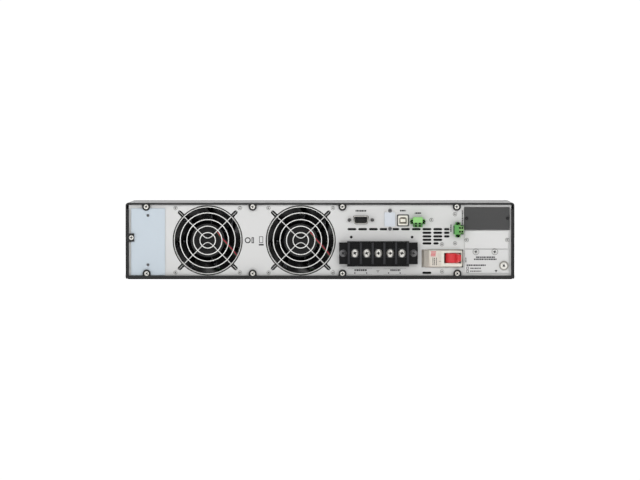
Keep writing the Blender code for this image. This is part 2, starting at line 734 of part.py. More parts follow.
def d_outline(centre, width, height, radius=2.0):
    """A D-shaped connector face, wider along its top."""
    slope = height * math.tan(math.radians(10))
    corners = [
        (-width / 2 + slope, -height / 2),
        (width / 2 - slope, -height / 2),
        (width / 2, height / 2),
        (-width / 2, height / 2),
    ]
    points = []
    for index, corner in enumerate(corners):
        here = Vector(corner)
        before = Vector(corners[index - 1])
        after = Vector(corners[(index + 1) % 4])
        first = here + (before - here).normalized() * radius
        last = here + (after - here).normalized() * radius
        for step in range(3):
            t = step / 2
            points.append(first * (1 - t) ** 2 + here * 2 * t * (1 - t) + last * t**2)
    return [(centre[0] + p.x, centre[1] + p.y) for p in points]


def serial_outline(grow, radius=2.0):
    width, height = SERIAL_FACE
    return d_outline(SERIAL_CENTRE, width + 2 * grow, height + 2 * grow, radius)


def make_serial_port():
    outlines = [serial_outline(0), serial_outline(-SERIAL_WALL, 1.6)]
    finish(extruded("serial_port_shell", outlines, PANEL[0] - 5.6, PANEL[1] + 7), NICKEL)
    core = [serial_outline(-SERIAL_WALL - SERIAL_LINER, 1.3)]
    finish(extruded("serial_port_insert", core, PANEL[0] - 0.6, PANEL[1] + 6.5), BLACK_PLASTIC)


def usb_outline(grow):
    x, z = USB_CENTRE
    half = USB_HALF + grow
    return rounded((x - half, z - half), (x + half, z + half), 1.2, 2)


def make_usb_port():
    x, z = USB_CENTRE
    half, cut = USB_HOLLOW_HALF, USB_HOLLOW_CORNER
    hollow = [(x - half, z - half), (x + half, z - half), (x + half, z + half - cut)]
    hollow += [(x + half - cut, z + half), (x - half + cut, z + half), (x - half, z + half - cut)]
    finish(extruded("usb_port_shell", [usb_outline(0), hollow], PANEL[0] - 1.6, PANEL[1] + 12), OFF_WHITE)
    across, up = USB_TONGUE_HALF
    low = (x - across, PANEL[0] - 0.4, z - up)
    high = (x + across, PANEL[1] + 11.5, z + up)
    finish(block("usb_port_tongue", low, high), OFF_WHITE, soften=0.3)


def plug_box(centre, turn, low, high):
    """A box given across and up a terminal plug, in panel places; a turned plug has its top to the left."""
    if turn:
        return (centre[0] - high[1], centre[1] + low[0]), (centre[0] - low[1], centre[1] + high[0])
    return (centre[0] + low[0], centre[1] + low[1]), (centre[0] + high[0], centre[1] + high[1])


def plug_block(name, centre, turn, low, high, y_low, y_high):
    first, second = plug_box(centre, turn, low, high)
    return block(name, (first[0], y_low, first[1]), (second[0], y_high, second[1]))


def make_green_plug(label, centre, turn, material):
    """A two-pole pluggable terminal: the socket on the panel and the plug screwed into it."""
    face = COVER_PLATE[1]
    wide, tall = PLUG_FLANGE
    socket_rear = face - SOCKET_DEPTH
    flange = ((-wide, -tall), (wide, tall))
    socket = plug_block(f"{label}_socket", centre, turn, *flange, socket_rear, face)
    body = plug_block("body", centre, turn, *SOCKET_BODY, socket_rear, face)
    across, up = SOCKET_PINS
    pins = plug_block("pins", centre, turn, (-across, -up), (across, up), face - 1.0, face + 9.0)
    finish(socket, material, [body, pins])
    rear = socket_rear - GAP
    plug = plug_block(f"{label}_plug", centre, turn, *PLUG_BODY, rear - PLUG_DEPTH, rear)
    entry = plug_block("entry", centre, turn, *PLUG_ENTRY, rear - PLUG_DEPTH, rear)
    ears = plug_block("ears", centre, turn, *flange, rear - PLUG_DEPTH / 2, rear)
    half_wide, half_tall = WIRE_HOLE_HALF
    cuts = []
    for side in (-1, 1):
        low, _ = plug_box(centre, turn, (side * PLUG_SCREW_OUT, 0), (side * PLUG_SCREW_OUT, 0))
        cuts.append(rod("flange_hole", (low[0], rear - 3.0, low[1]), PLUG_SCREW_RADIUS, 4.0, "Y", 10))
        for level in WIRE_HOLE_LEVELS:
            corner = (side * WIRE_HOLE_OUT - half_wide, level - half_tall)
            far = (side * WIRE_HOLE_OUT + half_wide, level + half_tall)
            cuts.append(plug_block("wire_hole", centre, turn, corner, far, rear - 9.0, rear - 4.5))
    finish(plug, material, [entry, ears], [joined("plug_holes", cuts)])


def make_terminal_block():
    """A barrier strip: ears, five cells between six walls, and the strip that it stands on."""
    back = COVER_PLATE[1]
    low = (BLOCK_X[0], EAR_FRONT, BLOCK_Z[0])
    ears = block("terminal_block", low, (BLOCK_X[1], back, BLOCK_Z[1]))
    strip = block("strip", (STRIP_X[0], STRIP_FRONT, STRIP_Z[0]), (STRIP_X[1], back - 0.4, STRIP_Z[1]))
    floor_low = (BARRIER_X[0], CELL_FLOOR, BLOCK_Z[0] + 2)
    floor = block("cell_floor", floor_low, (BARRIER_X[-1], EAR_FRONT + 1, BLOCK_Z[1] - 2))
    walls = []
    for x in BARRIER_X:
        low = (x - BARRIER / 2, BLOCK_FRONT, BLOCK_Z[0] + 0.2)
        walls.append(block("wall", low, (x + BARRIER / 2, EAR_FRONT + 2, BLOCK_Z[1] - 0.2)))
    finish(ears, GLOSS_BLACK, [strip, floor, joined("cell_walls", walls)])
    for number, (left, right) in enumerate(zip(BARRIER_X, BARRIER_X[1:]), 1):
        x = (left + right) / 2
        base = CELL_FLOOR - GAP
        across, up = CLAMP_HALF
        low = (x - across, base - CLAMP_THICK, TERMINAL_Z - up)
        clamp = block(f"terminal_screw_{number}", low, (x + across, base, TERMINAL_Z + up))
        head_middle = (x, base - CLAMP_THICK - CLAMP_HEAD_HEIGHT / 2 + GAP / 2, TERMINAL_Z)
        head = rod("head", head_middle, CLAMP_HEAD_RADIUS, CLAMP_HEAD_HEIGHT + GAP, "Y", 16)
        finish(clamp, NICKEL, [head])


# Breaker -----------------------------------------------------------------------------------------------------


def lever_mesh(half):
    """The lever about its axis, standing out along -Y and narrowing towards its tip."""
    outline = [(0, -half), (-TOGGLE_TAPER, -half), (-TOGGLE_REACH, -TOGGLE_TIP_HALF)]
    outline += [(y, -z) for y, z in reversed(outline)]
    shape = bmesh.new()
    sides = []
    for x in (-TOGGLE_HALF, TOGGLE_HALF):
        sides.append([shape.verts.new(Vector((x, y, z)) * MM) for y, z in outline])
    first, second = sides
    shape.faces.new(first)
    shape.faces.new(second)
    for index in range(len(outline)):
        shape.faces.new((first[index - 1], first[index], second[index], second[index - 1]))
    bmesh.ops.recalc_face_normals(shape, faces=shape.faces)
    return mesh_from("lever", shape)


def make_breaker():
    """A one-pole breaker on its side, with its lever leaning to the right."""
    left, right = BREAKER_NOSE
    front, back = BREAKER_BODY_Y
    low_x, high_x = BREAKER_BODY_X
    shoulder_centre = (left - 0.5, BREAKER_FRONT + SHOULDER_RADIUS / 2 - SHOULDER_RADIUS)
    shoulder = arc(shoulder_centre, SHOULDER_RADIUS, 78, 30, 5)
    outline = [(low_x, front - 0.1), (left, front - 0.1), *shoulder, (right, BREAKER_FRONT)]
    outline += [(right, front + 0.1), (high_x, front + 0.1), (high_x, back), (low_x, back)]
    body = extruded("breaker_body", [outline], *BREAKER_Z, axis="Z")
    low = (TOGGLE_WINDOW_X[0], BREAKER_FRONT - 1, TOGGLE_Z[0] - 0.5)
    high = (TOGGLE_WINDOW_X[1], TOGGLE_WINDOW_DEPTH, TOGGLE_Z[1] + 0.5)
    finish(body, BEIGE, cut=[block("toggle_window", low, high)])
    x, y = TOGGLE_AXIS
    middle = sum(TOGGLE_Z) / 2
    height = TOGGLE_Z[1] - TOGGLE_Z[0]
    toggle = rod("breaker_toggle", (x, y, middle), TOGGLE_RADIUS, height, "Z", 24)
    lever = helper("lever", lever_mesh(height / 2 - 0.02), place(x, y, middle), (0, 0, TOGGLE_LEAN))
    finish(smooth(toggle), RED, [lever])


# Front -------------------------------------------------------------------------------------------------------


def make_front():
    back = CASE_DEPTH + GAP
    face = CASE_DEPTH + BEZEL_DEPTH
    inner = face - BEZEL_FACE
    bezel = extruded("front_bezel", [rounded((-HALF, 0), (HALF, CASE_HEIGHT), 4)], back, face)
    pocket_low = (-HALF + BEZEL_WALL, back - 1, BEZEL_WALL)
    pocket = block("pocket", pocket_low, (HALF - BEZEL_WALL, inner, CASE_HEIGHT - BEZEL_WALL))
    recess_low = (-DISPLAY_HALF, face - RECESS_DEPTH, DISPLAY_Z[0])
    recess = block("recess", recess_low, (DISPLAY_HALF, face + 1, DISPLAY_Z[1]))
    through = face - RECESS_DEPTH + 0.5
    window_low = (-WINDOW_HALF - GAP, inner - 1, WINDOW_Z[0] - GAP)
    openings = [block("window_hole", window_low, (WINDOW_HALF + GAP, through, WINDOW_Z[1] + GAP))]
    half_x, half_z = BUTTON_SIZE[0] / 2, BUTTON_SIZE[1] / 2
    for x in BUTTON_X:
        low = (x - half_x - GAP, inner - 1, BUTTON_Z - half_z - GAP)
        openings.append(block("button_hole", low, (x + half_x + GAP, through, BUTTON_Z + half_z + GAP)))
    for side in (-1, 1):
        left, right = sorted((side * GRILLE_X[0], side * GRILLE_X[1]))
        for row in range(GRILLE_ROWS):
            z = GRILLE_FIRST_Z + GRILLE_PITCH * row
            low = (left, inner - 1, z - GRILLE_HEIGHT / 2)
            openings.append(block("grille_slot", low, (right, face + 1, z + GRILLE_HEIGHT / 2)))
    finish(bezel, BLACK_PLASTIC, cut=[pocket, recess, joined("front_openings", openings)])
    window_face = face - RECESS_DEPTH + 0.6
    low = (-WINDOW_HALF, window_face - WINDOW_THICK, WINDOW_Z[0])
    finish(block("display_window", low, (WINDOW_HALF, window_face, WINDOW_Z[1])), DISPLAY)
    for number, x in enumerate(BUTTON_X, 1):
        button_face = face - 0.4
        low = (x - half_x, button_face - BUTTON_DEPTH, BUTTON_Z - half_z)
        button = block(f"front_button_{number}", low, (x + half_x, button_face, BUTTON_Z + half_z))
        finish(button, BLACK_PLASTIC, soften=0.8)
    (left, low_z), (right, high_z) = DISPLAY_BOARD
    low = (left, face - DISPLAY_BOARD_Y[0], low_z)
    finish(block("display_board", low, (right, face - DISPLAY_BOARD_Y[1], high_z)), BOARD_GREEN)


def make_front_frame():
    """The sheet that closes the case behind the bezel, with windows for the air and the wiring."""
    air = [rectangle((-PANEL_HALF, SHEET + GAP), (PANEL_HALF, CASE_HEIGHT - SHEET - GAP))]
    air.append(rectangle(*FRAME_WINDOW))
    for side in (-1, 1):
        for column, middle in enumerate(AIR_COLUMNS):
            x = side * middle
            for row in AIR_ROWS:
                low = row + column / 10
                air.append(rectangle((x - AIR_SIZE / 2, low), (x + AIR_SIZE / 2, low + AIR_SIZE)))
    finish(extruded("front_frame", air, CASE_DEPTH - FRAME_Y[0], CASE_DEPTH - FRAME_Y[1]), CHARCOAL)


# Inside ------------------------------------------------------------------------------------------------------


def make_board(name, corners, heights):
    low, high = corners
    finish(block(name, (*low, heights[0]), (*high, heights[1])), BOARD_GREEN)


def make_heatsink(number, x):
    """A finned block in the air path of one fan."""
    left = x - (FINS - 1) * FIN_PITCH / 2
    half = FIN_THICK / 2
    outline = [(left - half, BOARD_TOP)]
    for fin in range(FINS):
        middle = left + fin * FIN_PITCH
        outline += [(middle - half, FIN_TOP), (middle + half, FIN_TOP)]
        if fin < FINS - 1:
            outline += [(middle + half, FIN_ROOT), (middle + FIN_PITCH - half, FIN_ROOT)]
    outline.append((left + (FINS - 1) * FIN_PITCH + half, BOARD_TOP))
    finish(extruded(f"heatsink_{number}", [outline], *HEATSINK_Y), ALUMINIUM)


def make_power_parts():
    inner, outer, half = INDUCTOR_RING
    across, up = RING_CHAMFER
    shoulder = outer - 1.5 * across
    ring = [(shoulder, half), (outer, half - up), (outer, up - half), (shoulder, -half)]
    ring += [(inner + across, -half), (inner, up - half), (inner, half - up), (inner + across, half)]
    for number, (x, y) in enumerate(INDUCTORS, 1):
        spot = (x, y, BOARD_TOP + half)
        finish(smooth(turned(f"inductor_{number}", ring, spot, 24, (0, 0, 0), ring=True)), COPPER)
    radius, half = CAPACITOR_SIZE
    can = [(0, half), (radius - 1.2, half), (radius, half - 1.2)]
    can += [(r, -z) for r, z in reversed(can)]
    for number, (x, y) in enumerate(CAPACITORS, 1):
        spot = (x, y, BOARD_TOP + half)
        finish(smooth(turned(f"bus_capacitor_{number}", can, spot, 20, (0, 0, 0))), SLEEVE)
    low, high, height = RELAY
    relay = block("output_relay", (*low, BOARD_TOP), (*high, BOARD_TOP + height))
    finish(relay, BLACK_PLASTIC, soften=1.0)


make_top_cover()
make_base_tray()
make_rear_panel()
make_plates()
make_screws()
for fan, fan_x in enumerate(FAN_X, 1):
    make_fan_frame(fan, fan_x)
    make_fan_rotor(fan, fan_x)
    make_fan_guard(fan, fan_x)
    make_fan_lead(fan, fan_x)
    make_heatsink(fan, fan_x)
make_serial_port()
make_usb_port()
make_green_plug("epo", EPO_CENTRE, False, GREEN)
make_green_plug("detect", DETECT_CENTRE, True, DARK_GREEN)
make_terminal_block()
make_breaker()
make_front()
make_front_frame()
make_board("main_board", MAIN_BOARD, BOARD_Z)
make_board("comm_board", COMM_BOARD, COMM_BOARD_Z)
make_power_parts()
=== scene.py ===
"""The finished look of the 2U rackmount UPS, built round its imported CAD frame.

Lengths in this script are millimetres in the rear panel's own places: x to the right as the rear is
looked at, y inwards from the case's rear edge, z up from the underside. at() turns them into metres.
"""

import math
import random

import bmesh
import bpy
from mathutils import Matrix, Vector


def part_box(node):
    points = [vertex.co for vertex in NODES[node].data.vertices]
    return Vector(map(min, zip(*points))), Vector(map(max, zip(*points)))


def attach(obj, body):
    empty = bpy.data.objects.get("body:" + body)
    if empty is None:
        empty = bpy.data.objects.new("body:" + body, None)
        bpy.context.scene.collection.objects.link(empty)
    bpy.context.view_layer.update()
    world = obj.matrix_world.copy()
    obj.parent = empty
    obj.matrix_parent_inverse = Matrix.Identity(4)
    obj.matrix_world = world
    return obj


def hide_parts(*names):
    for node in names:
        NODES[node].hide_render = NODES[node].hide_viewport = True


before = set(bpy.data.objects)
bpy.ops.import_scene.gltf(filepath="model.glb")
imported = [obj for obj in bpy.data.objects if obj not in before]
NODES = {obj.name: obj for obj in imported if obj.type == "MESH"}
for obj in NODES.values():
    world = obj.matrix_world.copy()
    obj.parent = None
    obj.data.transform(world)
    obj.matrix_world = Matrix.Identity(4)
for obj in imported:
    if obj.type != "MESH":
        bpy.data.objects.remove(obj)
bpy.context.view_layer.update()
MM = 0.001
REAR_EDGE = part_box("top_cover")[0].y
random.seed(7)


# --- Places ---


def at(x, y, z):
    return Vector((x * MM, REAR_EDGE + y * MM, z * MM))


def box_mm(node):
    """A CAD node's corners in rear-panel millimetres."""
    low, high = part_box(node)
    shift = Vector((0, REAR_EDGE, 0))
    return (low - shift) / MM, (high - shift) / MM


def middle_mm(node):
    low, high = box_mm(node)
    return (low + high) / 2


PANEL_FACE = box_mm("rear_panel")[0].y
PLATE_FACE = box_mm("input_plate")[0].y
BEZEL_FACE = box_mm("front_bezel")[1].y
CASE_LOW, CASE_HIGH = box_mm("top_cover")
FAN_PLACES = {n: middle_mm(f"fan_frame_{n}") for n in (1, 2)}
FAN_SCREW_REACH = 35.75
PATCH_SCALE = 16.0
SPECKLE_RANGE = (0.7, 1.3)


# --- Materials ---


def linear(channel):
    value = channel / 255
    return value / 12.92 if value <= 0.04045 else ((value + 0.055) / 1.055) ** 2.4


def rgba(colour, scale=1.0):
    return (*[min(1.0, linear(channel) * scale) for channel in colour], 1.0)


def feed(tree, made, inputs):
    """Links a node's inputs to other nodes' outputs, or gives them plain values."""
    for socket, value in inputs.items():
        if isinstance(value, bpy.types.NodeSocket):
            tree.links.new(value, made.inputs[socket])
        else:
            made.inputs[socket].default_value = value


def node(tree, kind, inputs=None, **settings):
    made = tree.nodes.new("ShaderNode" + kind)
    for key, value in settings.items():
        setattr(made, key, value)
    feed(tree, made, inputs or {})
    return made


def ramp(tree, factor, stops):
    """A colour ramp with (position, colour) stops."""
    made = node(tree, "ValToRGB", {"Fac": factor})
    elements = made.color_ramp.elements
    while len(elements) < len(stops):
        elements.new(0.5)
    for element, (position, colour) in zip(elements, stops, strict=True):
        element.position = position
        element.color = colour
    return made.outputs["Color"]


def span(tree, value, low, high, to_low=0.0, to_high=1.0):
    made = node(tree, "MapRange", {"Value": value, 1: low, 2: high, 3: to_low, 4: to_high})
    return made.outputs["Result"]


def opened(material):
    """A material's node tree, its shader, and the place on the object that is being shaded."""
    tree = material.node_tree
    return tree, tree.nodes["Principled BSDF"], node(tree, "TexCoord").outputs["Object"]


def add_relief(tree, shader, height, strength, distance):
    made = node(tree, "Bump", {"Height": height, "Strength": strength, "Distance": distance})
    feed(tree, shader, {"Normal": made.outputs["Normal"]})


def surface(
    name, colour, roughness, metallic=0.0, grain=900.0, bump=0.2, mottling=0.05, depth=0.00003,
    unevenness=0.06, specular=0.5, coat=0.0, coat_ior=1.5, coat_roughness=0.15, stretch=(1.0, 1.0, 1.0),
):
    """A material whose colour drifts in broad patches, with uneven roughness and a fine bumpy grain."""
    material = bpy.data.materials.new(name)
    material.use_nodes = True
    tree, shader, place = opened(material)
    drawn = node(tree, "Mapping", {"Vector": place, "Scale": stretch}).outputs["Vector"]
    patches = {"Vector": place, "Scale": PATCH_SCALE, "Detail": 6.0, "Roughness": 0.65}
    broad = node(tree, "TexNoise", patches).outputs["Fac"]
    grains = {"Vector": drawn, "Scale": grain, "Detail": 4.0, "Roughness": 0.6}
    fine = node(tree, "TexNoise", grains).outputs["Fac"]
    speckle = node(tree, "Math", {0: broad, 1: fine}, operation="ADD").outputs[0]
    shades = [(0.0, rgba(colour, 1 - mottling)), (1.0, rgba(colour, 1 + mottling))]
    tint = ramp(tree, span(tree, speckle, *SPECKLE_RANGE), shades)
    rough = span(tree, speckle, *SPECKLE_RANGE, roughness - unevenness, roughness + unevenness)
    coating = {"Coat Weight": coat, "Coat Roughness": coat_roughness, "Coat IOR": coat_ior}
    plain = {"Metallic": metallic, "Specular IOR Level": specular}
    feed(tree, shader, {"Base Color": tint, "Roughness": rough, **plain, **coating})
    add_relief(tree, shader, fine, bump, depth)
    return material


def fade_across(material, start, end, first, last):
    """Makes a material's colour change evenly from one X to another."""
    tree, shader, place = opened(material)
    along = node(tree, "SeparateXYZ", {"Vector": place}).outputs["X"]
    tint = ramp(tree, span(tree, along, start * MM, end * MM), [(0.0, rgba(first)), (1.0, rgba(last))])
    feed(tree, shader, {"Base Color": tint})


def circuit_board(name):
    """Green solder mask with copper tracks showing through and small pale pads."""
    material = surface(name, (34, 92, 62), 0.35, grain=500, mottling=0.1, coat=0.3)
    tree, shader, place = opened(material)
    colours = {"Color1": rgba((30, 84, 56)), "Color2": rgba((44, 108, 70)), "Mortar": rgba((88, 140, 84))}
    tracks = node(tree, "TexBrick", {"Vector": place, "Scale": 90.0, "Mortar Size": 0.035, **colours})
    pads = node(tree, "TexVoronoi", {"Vector": place, "Scale": 190.0, "Randomness": 0.7})
    dots = span(tree, pads.outputs["Distance"], 0.16, 0.2, 1.0, 0.0)
    layers = {"Factor": dots, 6: tracks.outputs["Color"], 7: rgba((205, 206, 198))}
    mixed = node(tree, "Mix", layers, data_type="RGBA")
    feed(tree, shader, {"Base Color": mixed.outputs[2]})
    return material


def winding(name):
    """Enamelled copper wire wound round a ring: ridges that follow the angle about the upright axis."""
    material = surface(name, (176, 96, 44), 0.3, 0.8, 700, mottling=0.12)
    tree, shader, place = opened(material)
    parts = node(tree, "SeparateXYZ", {"Vector": place}).outputs
    angle = node(tree, "Math", {0: parts["Y"], 1: parts["X"]}, operation="ARCTAN2")
    turns = node(tree, "Math", {0: angle.outputs[0], 1: 60.0}, operation="MULTIPLY")
    ridge = node(tree, "Math", {0: turns.outputs[0]}, operation="SINE")
    add_relief(tree, shader, ridge.outputs[0], 0.8, 0.0006)
    return material


def dust_filter(name):
    """Open black foam: cells from a Voronoi pattern."""
    material = surface(name, (26, 26, 27), 0.9, grain=600, mottling=0.3)
    tree, shader, place = opened(material)
    cells = node(tree, "TexVoronoi", {"Vector": place, "Scale": 650.0}).outputs["Distance"]
    tint = ramp(tree, cells, [(0.1, rgba((6, 6, 6))), (0.6, rgba((46, 46, 47)))])
    feed(tree, shader, {"Base Color": tint})
    add_relief(tree, shader, cells, 1.0, 0.0008)
    return material


# Name, colour, roughness, metal, grain, bump and mottling, then anything finer.
COAT = surface(
    "black_powder_coat", (31, 31, 32), 0.5, 0, 1500, 0.5, 0.1,
    depth=0.00006, specular=0.2, coat=0.8, coat_ior=1.3, coat_roughness=0.45
)
PAINT = surface("light_grey_paint", (210, 210, 209), 0.5, 0, 1100, 0.25, 0.008, specular=0.3)
FILM = surface(
    "plate_under_film", (193, 203, 211), 0.34, 0, 260, 0.03, 0.008, unevenness=0.02, specular=0.35
)
PALE_FILM = surface(
    "port_plate_film", (206, 211, 218), 0.34, 0, 260, 0.03, 0.008, unevenness=0.02, specular=0.35
)
DARK_PAINT = surface("dark_grey_paint", (71, 71, 71), 0.5, 0, 1300, 0.4, 0.04, specular=0.2)
BLACK = surface("black_moulding", (21, 21, 22), 0.45, 0, 1700, 0.5, 0.12, depth=0.00005, specular=0.3)
BEZEL = surface("bezel_moulding", (29, 29, 31), 0.42, 0, 1900, 0.6, 0.1, depth=0.00006, specular=0.4)
FAN_BLACK = surface("fan_moulding", (11, 11, 12), 0.28, 0, 1200, 0.15, 0.12, specular=0.4)
PHENOLIC = surface("terminal_phenolic", (7, 7, 9), 0.3, 0, 700, 0.2, 0.2, specular=0.22)
NICKEL = surface("nickel_plate", (222, 220, 214), 0.32, 0.6, 500, 0.3, 0.1)
# Painted highlight: a lighter copy of the phenolic for the barriers' outward faces.
BARRIER_HIGHLIGHT = surface("terminal_front_painted_highlight", (40, 40, 43), 0.32, 0, 700, 0.2, 0.12, specular=0.3)
RECESS = surface("recess_shade", (26, 26, 27), 0.5, 0.2, 900, 0.3, 0.15)
STEEL = surface("zinc_steel", (168, 168, 164), 0.34, 1.0, 700, 0.4, 0.12)
BRASS = surface("gold_contact", (206, 170, 96), 0.3, 1.0, 900, 0.2, 0.08)
WIRE = surface("bright_wire", (244, 244, 241), 0.3, 0.15, 700, 0.2, 0.02)
# Painted shade: a darker copy of the guard wire for the legs, which sit behind the rings.
LEG_WIRE_SHADE = surface("leg_wire_painted_shade", (226, 226, 224), 0.32, 0.2, 700, 0.2, 0.04)
PALE_ZINC = surface("pale_zinc", (190, 190, 188), 0.35, 0.6, 800, 0.3, 0.06)
BEIGE = surface("breaker_moulding", (212, 205, 194), 0.42, 0, 1400, 0.35, 0.03)
BEIGE_SHADE = surface("breaker_shoulder", (205, 198, 187), 0.45, 0, 1400, 0.35, 0.03)
# Painted shade: the breaker's rounded left shoulder, made darker towards its left edge by a colour fade.
SHOULDER_PAINTED_SHADE = surface("breaker_rounded_side_painted_shade", (176, 170, 161), 0.45, 0, 1400, 0.35, 0.03)
CREAM = surface("breaker_cream", (222, 220, 208), 0.4, 0, 1400, 0.3, 0.02)
RED = surface("lever_red", (206, 42, 48), 0.34, 0, 900, 0.2, 0.05, coat=0.2)
GREEN = surface("plug_green", (138, 200, 118), 0.4, 0, 1000, 0.25, 0.03)
DEEP_GREEN = surface("plug_deep_green", (88, 158, 80), 0.4, 0, 1000, 0.25, 0.05)
# Painted shade and light on the plugs' wire entries: a darker copy of the EPO plug's green, and a lighter
# one for the detection plug.
ENTRY_SHADE_GREEN = surface("plug_entry_painted_shade", (84, 134, 74), 0.4, 0, 1000, 0.25, 0.06)
ENTRY_LIGHT_GREEN = surface("plug_entry_painted_light", (124, 172, 104), 0.4, 0, 1000, 0.25, 0.06)
# Painted shade: a dark green for the detection socket and for the strip along the detection plug's side.
SHADE_GREEN = surface("socket_green_painted_shade", (36, 84, 38), 0.4, 0, 1000, 0.25, 0.06)
DARK_HOLE = surface("shaded_cavity", (6, 11, 6), 0.7, 0, 800, 0.2, 0.2, specular=0.08)
INK = surface("print_ink", (34, 34, 36), 0.6, 0, 1600, 0.1, 0.1)
RED_INK = surface("print_red", (206, 84, 96), 0.55, 0, 1600, 0.1, 0.08)
DARK_ZINC = surface("dark_zinc", (104, 104, 105), 0.4, 0.5, 900, 0.3, 0.12)
CLAMP_PLATE = surface("clamp_plate", (74, 74, 76), 0.3, 0.9, 500, 0.3, 0.12)
WHITE_PLASTIC = surface("port_white", (236, 233, 222), 0.42, 0, 1200, 0.25, 0.02)
PORT_FRAME = surface("port_frame", (150, 148, 142), 0.4, 0.2, 900, 0.3, 0.05)
PORT_SHELL = surface("port_shell", (104, 104, 102), 0.36, 0.6, 900, 0.3, 0.08)
LEAD_RED = surface("red_insulation", (192, 30, 62), 0.4, 0, 1500, 0.2, 0.06)
LEAD_BLACK = surface("black_insulation", (20, 20, 21), 0.42, 0, 1500, 0.2, 0.1)
LEAD_GREEN = surface("green_insulation", (26, 78, 50), 0.42, 0, 1500, 0.2, 0.1)
STICKER = surface("hub_sticker", (12, 12, 13), 0.5, 0, 600, 0.15, 0.1, specular=0.25)
GLASS = surface("display_window_gloss", (9, 11, 14), 0.09, 0, 200, 0.03, unevenness=0.03, coat=1.0)
LCD = surface("lcd_field", (36, 62, 92), 0.25, 0, 900, 0.1, 0.05)
LCD_INK = surface("lcd_segments", (196, 220, 240), 0.3, 0, 900, 0.1, 0.04)
ALUMINIUM = surface("drawn_aluminium", (176, 178, 182), 0.34, 1.0, 90, 0.5, stretch=(40, 1, 40))
SLEEVE = surface("capacitor_sleeve", (30, 42, 74), 0.3, 0, 500, 0.2, 0.08, coat=0.3)
# The shoulder's painted shade fades from dark at x 113.8 mm to light at x 121.5 mm.
fade_across(SHOULDER_PAINTED_SHADE, 113.8, 121.5, (158, 153, 145), (206, 199, 188))
BOARD = circuit_board("circuit_board")
WINDING = winding("copper_winding")
FOAM = dust_filter("dust_filter")


# --- Shapes ---


def new_object(name, mesh, location=(0, 0, 0)):
    obj = bpy.data.objects.new(name, mesh)
    obj.location = location
    bpy.context.scene.collection.objects.link(obj)
    return obj


def shade(mesh, angle=35):
    mesh.shade_smooth()
    mesh.set_sharp_from_angle(angle=math.radians(angle))


def from_shape(name, shape, location=(0, 0, 0)):
    mesh = bpy.data.meshes.new(name)
    shape.to_mesh(mesh)
    shape.free()
    shade(mesh)
    return new_object(name, mesh, location)


def evaluated_mesh(obj):
    bpy.context.view_layer.update()
    graph = bpy.context.evaluated_depsgraph_get()
    return bpy.data.meshes.new_from_object(obj.evaluated_get(graph))


def modified(obj, kind, crease=35, **settings):
    """The object with one modifier applied and, unless crease is None, its smooth shading made anew."""
    made = obj.modifiers.new(kind, kind)
    for key, value in settings.items():
        setattr(made, key, value)
    obj.data = evaluated_mesh(obj)
    obj.modifiers.clear()
    if crease:
        shade(obj.data, crease)
    return obj


def evened(obj):
    """Keeps large flat faces evenly shaded right up to their rounded edges."""
    return modified(obj, "WEIGHTED_NORMAL", None, keep_sharp=True, weight=90)


def bevel(obj, width, segments, angle=30):
    rounding = {"width": width * MM, "segments": segments, "angle_limit": math.radians(angle)}
    return modified(obj, "BEVEL", 40, limit_method="ANGLE", harden_normals=False, **rounding)


def cut(obj, cutter, operation="DIFFERENCE"):
    modified(obj, "BOOLEAN", operation=operation, object=cutter)
    bpy.data.objects.remove(cutter, do_unlink=True)
    return obj


def box(name, low, high, radius=0.0, segments=2):
    """A box with rounded edges between two corners."""
    low, high = at(*low), at(*high)
    shape = bmesh.new()
    bmesh.ops.create_cube(shape, size=1.0)
    bmesh.ops.scale(shape, vec=high - low, verts=shape.verts)
    if radius:
        rounding = {"offset": radius * MM, "segments": segments, "profile": 0.5, "affect": "EDGES"}
        bmesh.ops.bevel(shape, geom=shape.edges[:], **rounding)
    return from_shape(name, shape, (low + high) / 2)


def lathe(name, profile, steps=48, axis="Y"):
    """A turned shape about its own origin, from (radius, height) points, height towards the viewer."""
    shape = bmesh.new()
    points = [shape.verts.new((r * MM, 0, h * MM)) for r, h in profile]
    edges = [shape.edges.new(pair) for pair in zip(points, points[1:])]
    turn = {"axis": (0, 0, 1), "cent": (0, 0, 0), "angle": 2 * math.pi, "steps": steps, "use_merge": True}
    bmesh.ops.spin(shape, geom=points + edges, **turn)
    bmesh.ops.remove_doubles(shape, verts=shape.verts, dist=1e-7)
    bmesh.ops.recalc_face_normals(shape, faces=shape.faces)
    if axis == "Y":
        bmesh.ops.rotate(shape, matrix=Matrix.Rotation(math.pi / 2, 3, "X"), verts=shape.verts)
    return from_shape(name, shape)


def put(obj, x, y, z, spin=0.0):
    """Places a shape made about its own origin, turned about the line of sight."""
    obj.location = at(x, y, z)
    obj.rotation_euler = (0, math.radians(spin), 0)
    return obj


def curve_object(name, dimensions):
    curve = bpy.data.curves.new(name, "CURVE")
    curve.dimensions = dimensions
    return curve, new_object(name, curve)


def settle(guide):
    """A curve object made a welded mesh object."""
    mesh = evaluated_mesh(guide)
    mesh.transform(guide.matrix_world)
    name = guide.name
    bpy.data.objects.remove(guide, do_unlink=True)
    shape = bmesh.new()
    shape.from_mesh(mesh)
    bmesh.ops.remove_doubles(shape, verts=shape.verts, dist=1e-7)
    bmesh.ops.recalc_face_normals(shape, faces=shape.faces)
    return from_shape(name, shape)


def add_spline(curve, places, cyclic=True):
    spline = curve.splines.new("POLY")
    spline.points.add(len(places) - 1)
    for point, place in zip(spline.points, places, strict=True):
        point.co = (*place, 1)
    spline.use_cyclic_u = cyclic


def wire(name, points, radius, cyclic=False, sides=12):
    """A round wire through millimetre places."""
    curve, guide = curve_object(name, "3D")
    curve.bevel_depth = radius * MM
    curve.bevel_resolution = sides // 2 - 2
    curve.use_fill_caps = not cyclic
    add_spline(curve, [at(*spot) for spot in points], cyclic)
    return settle(guide)


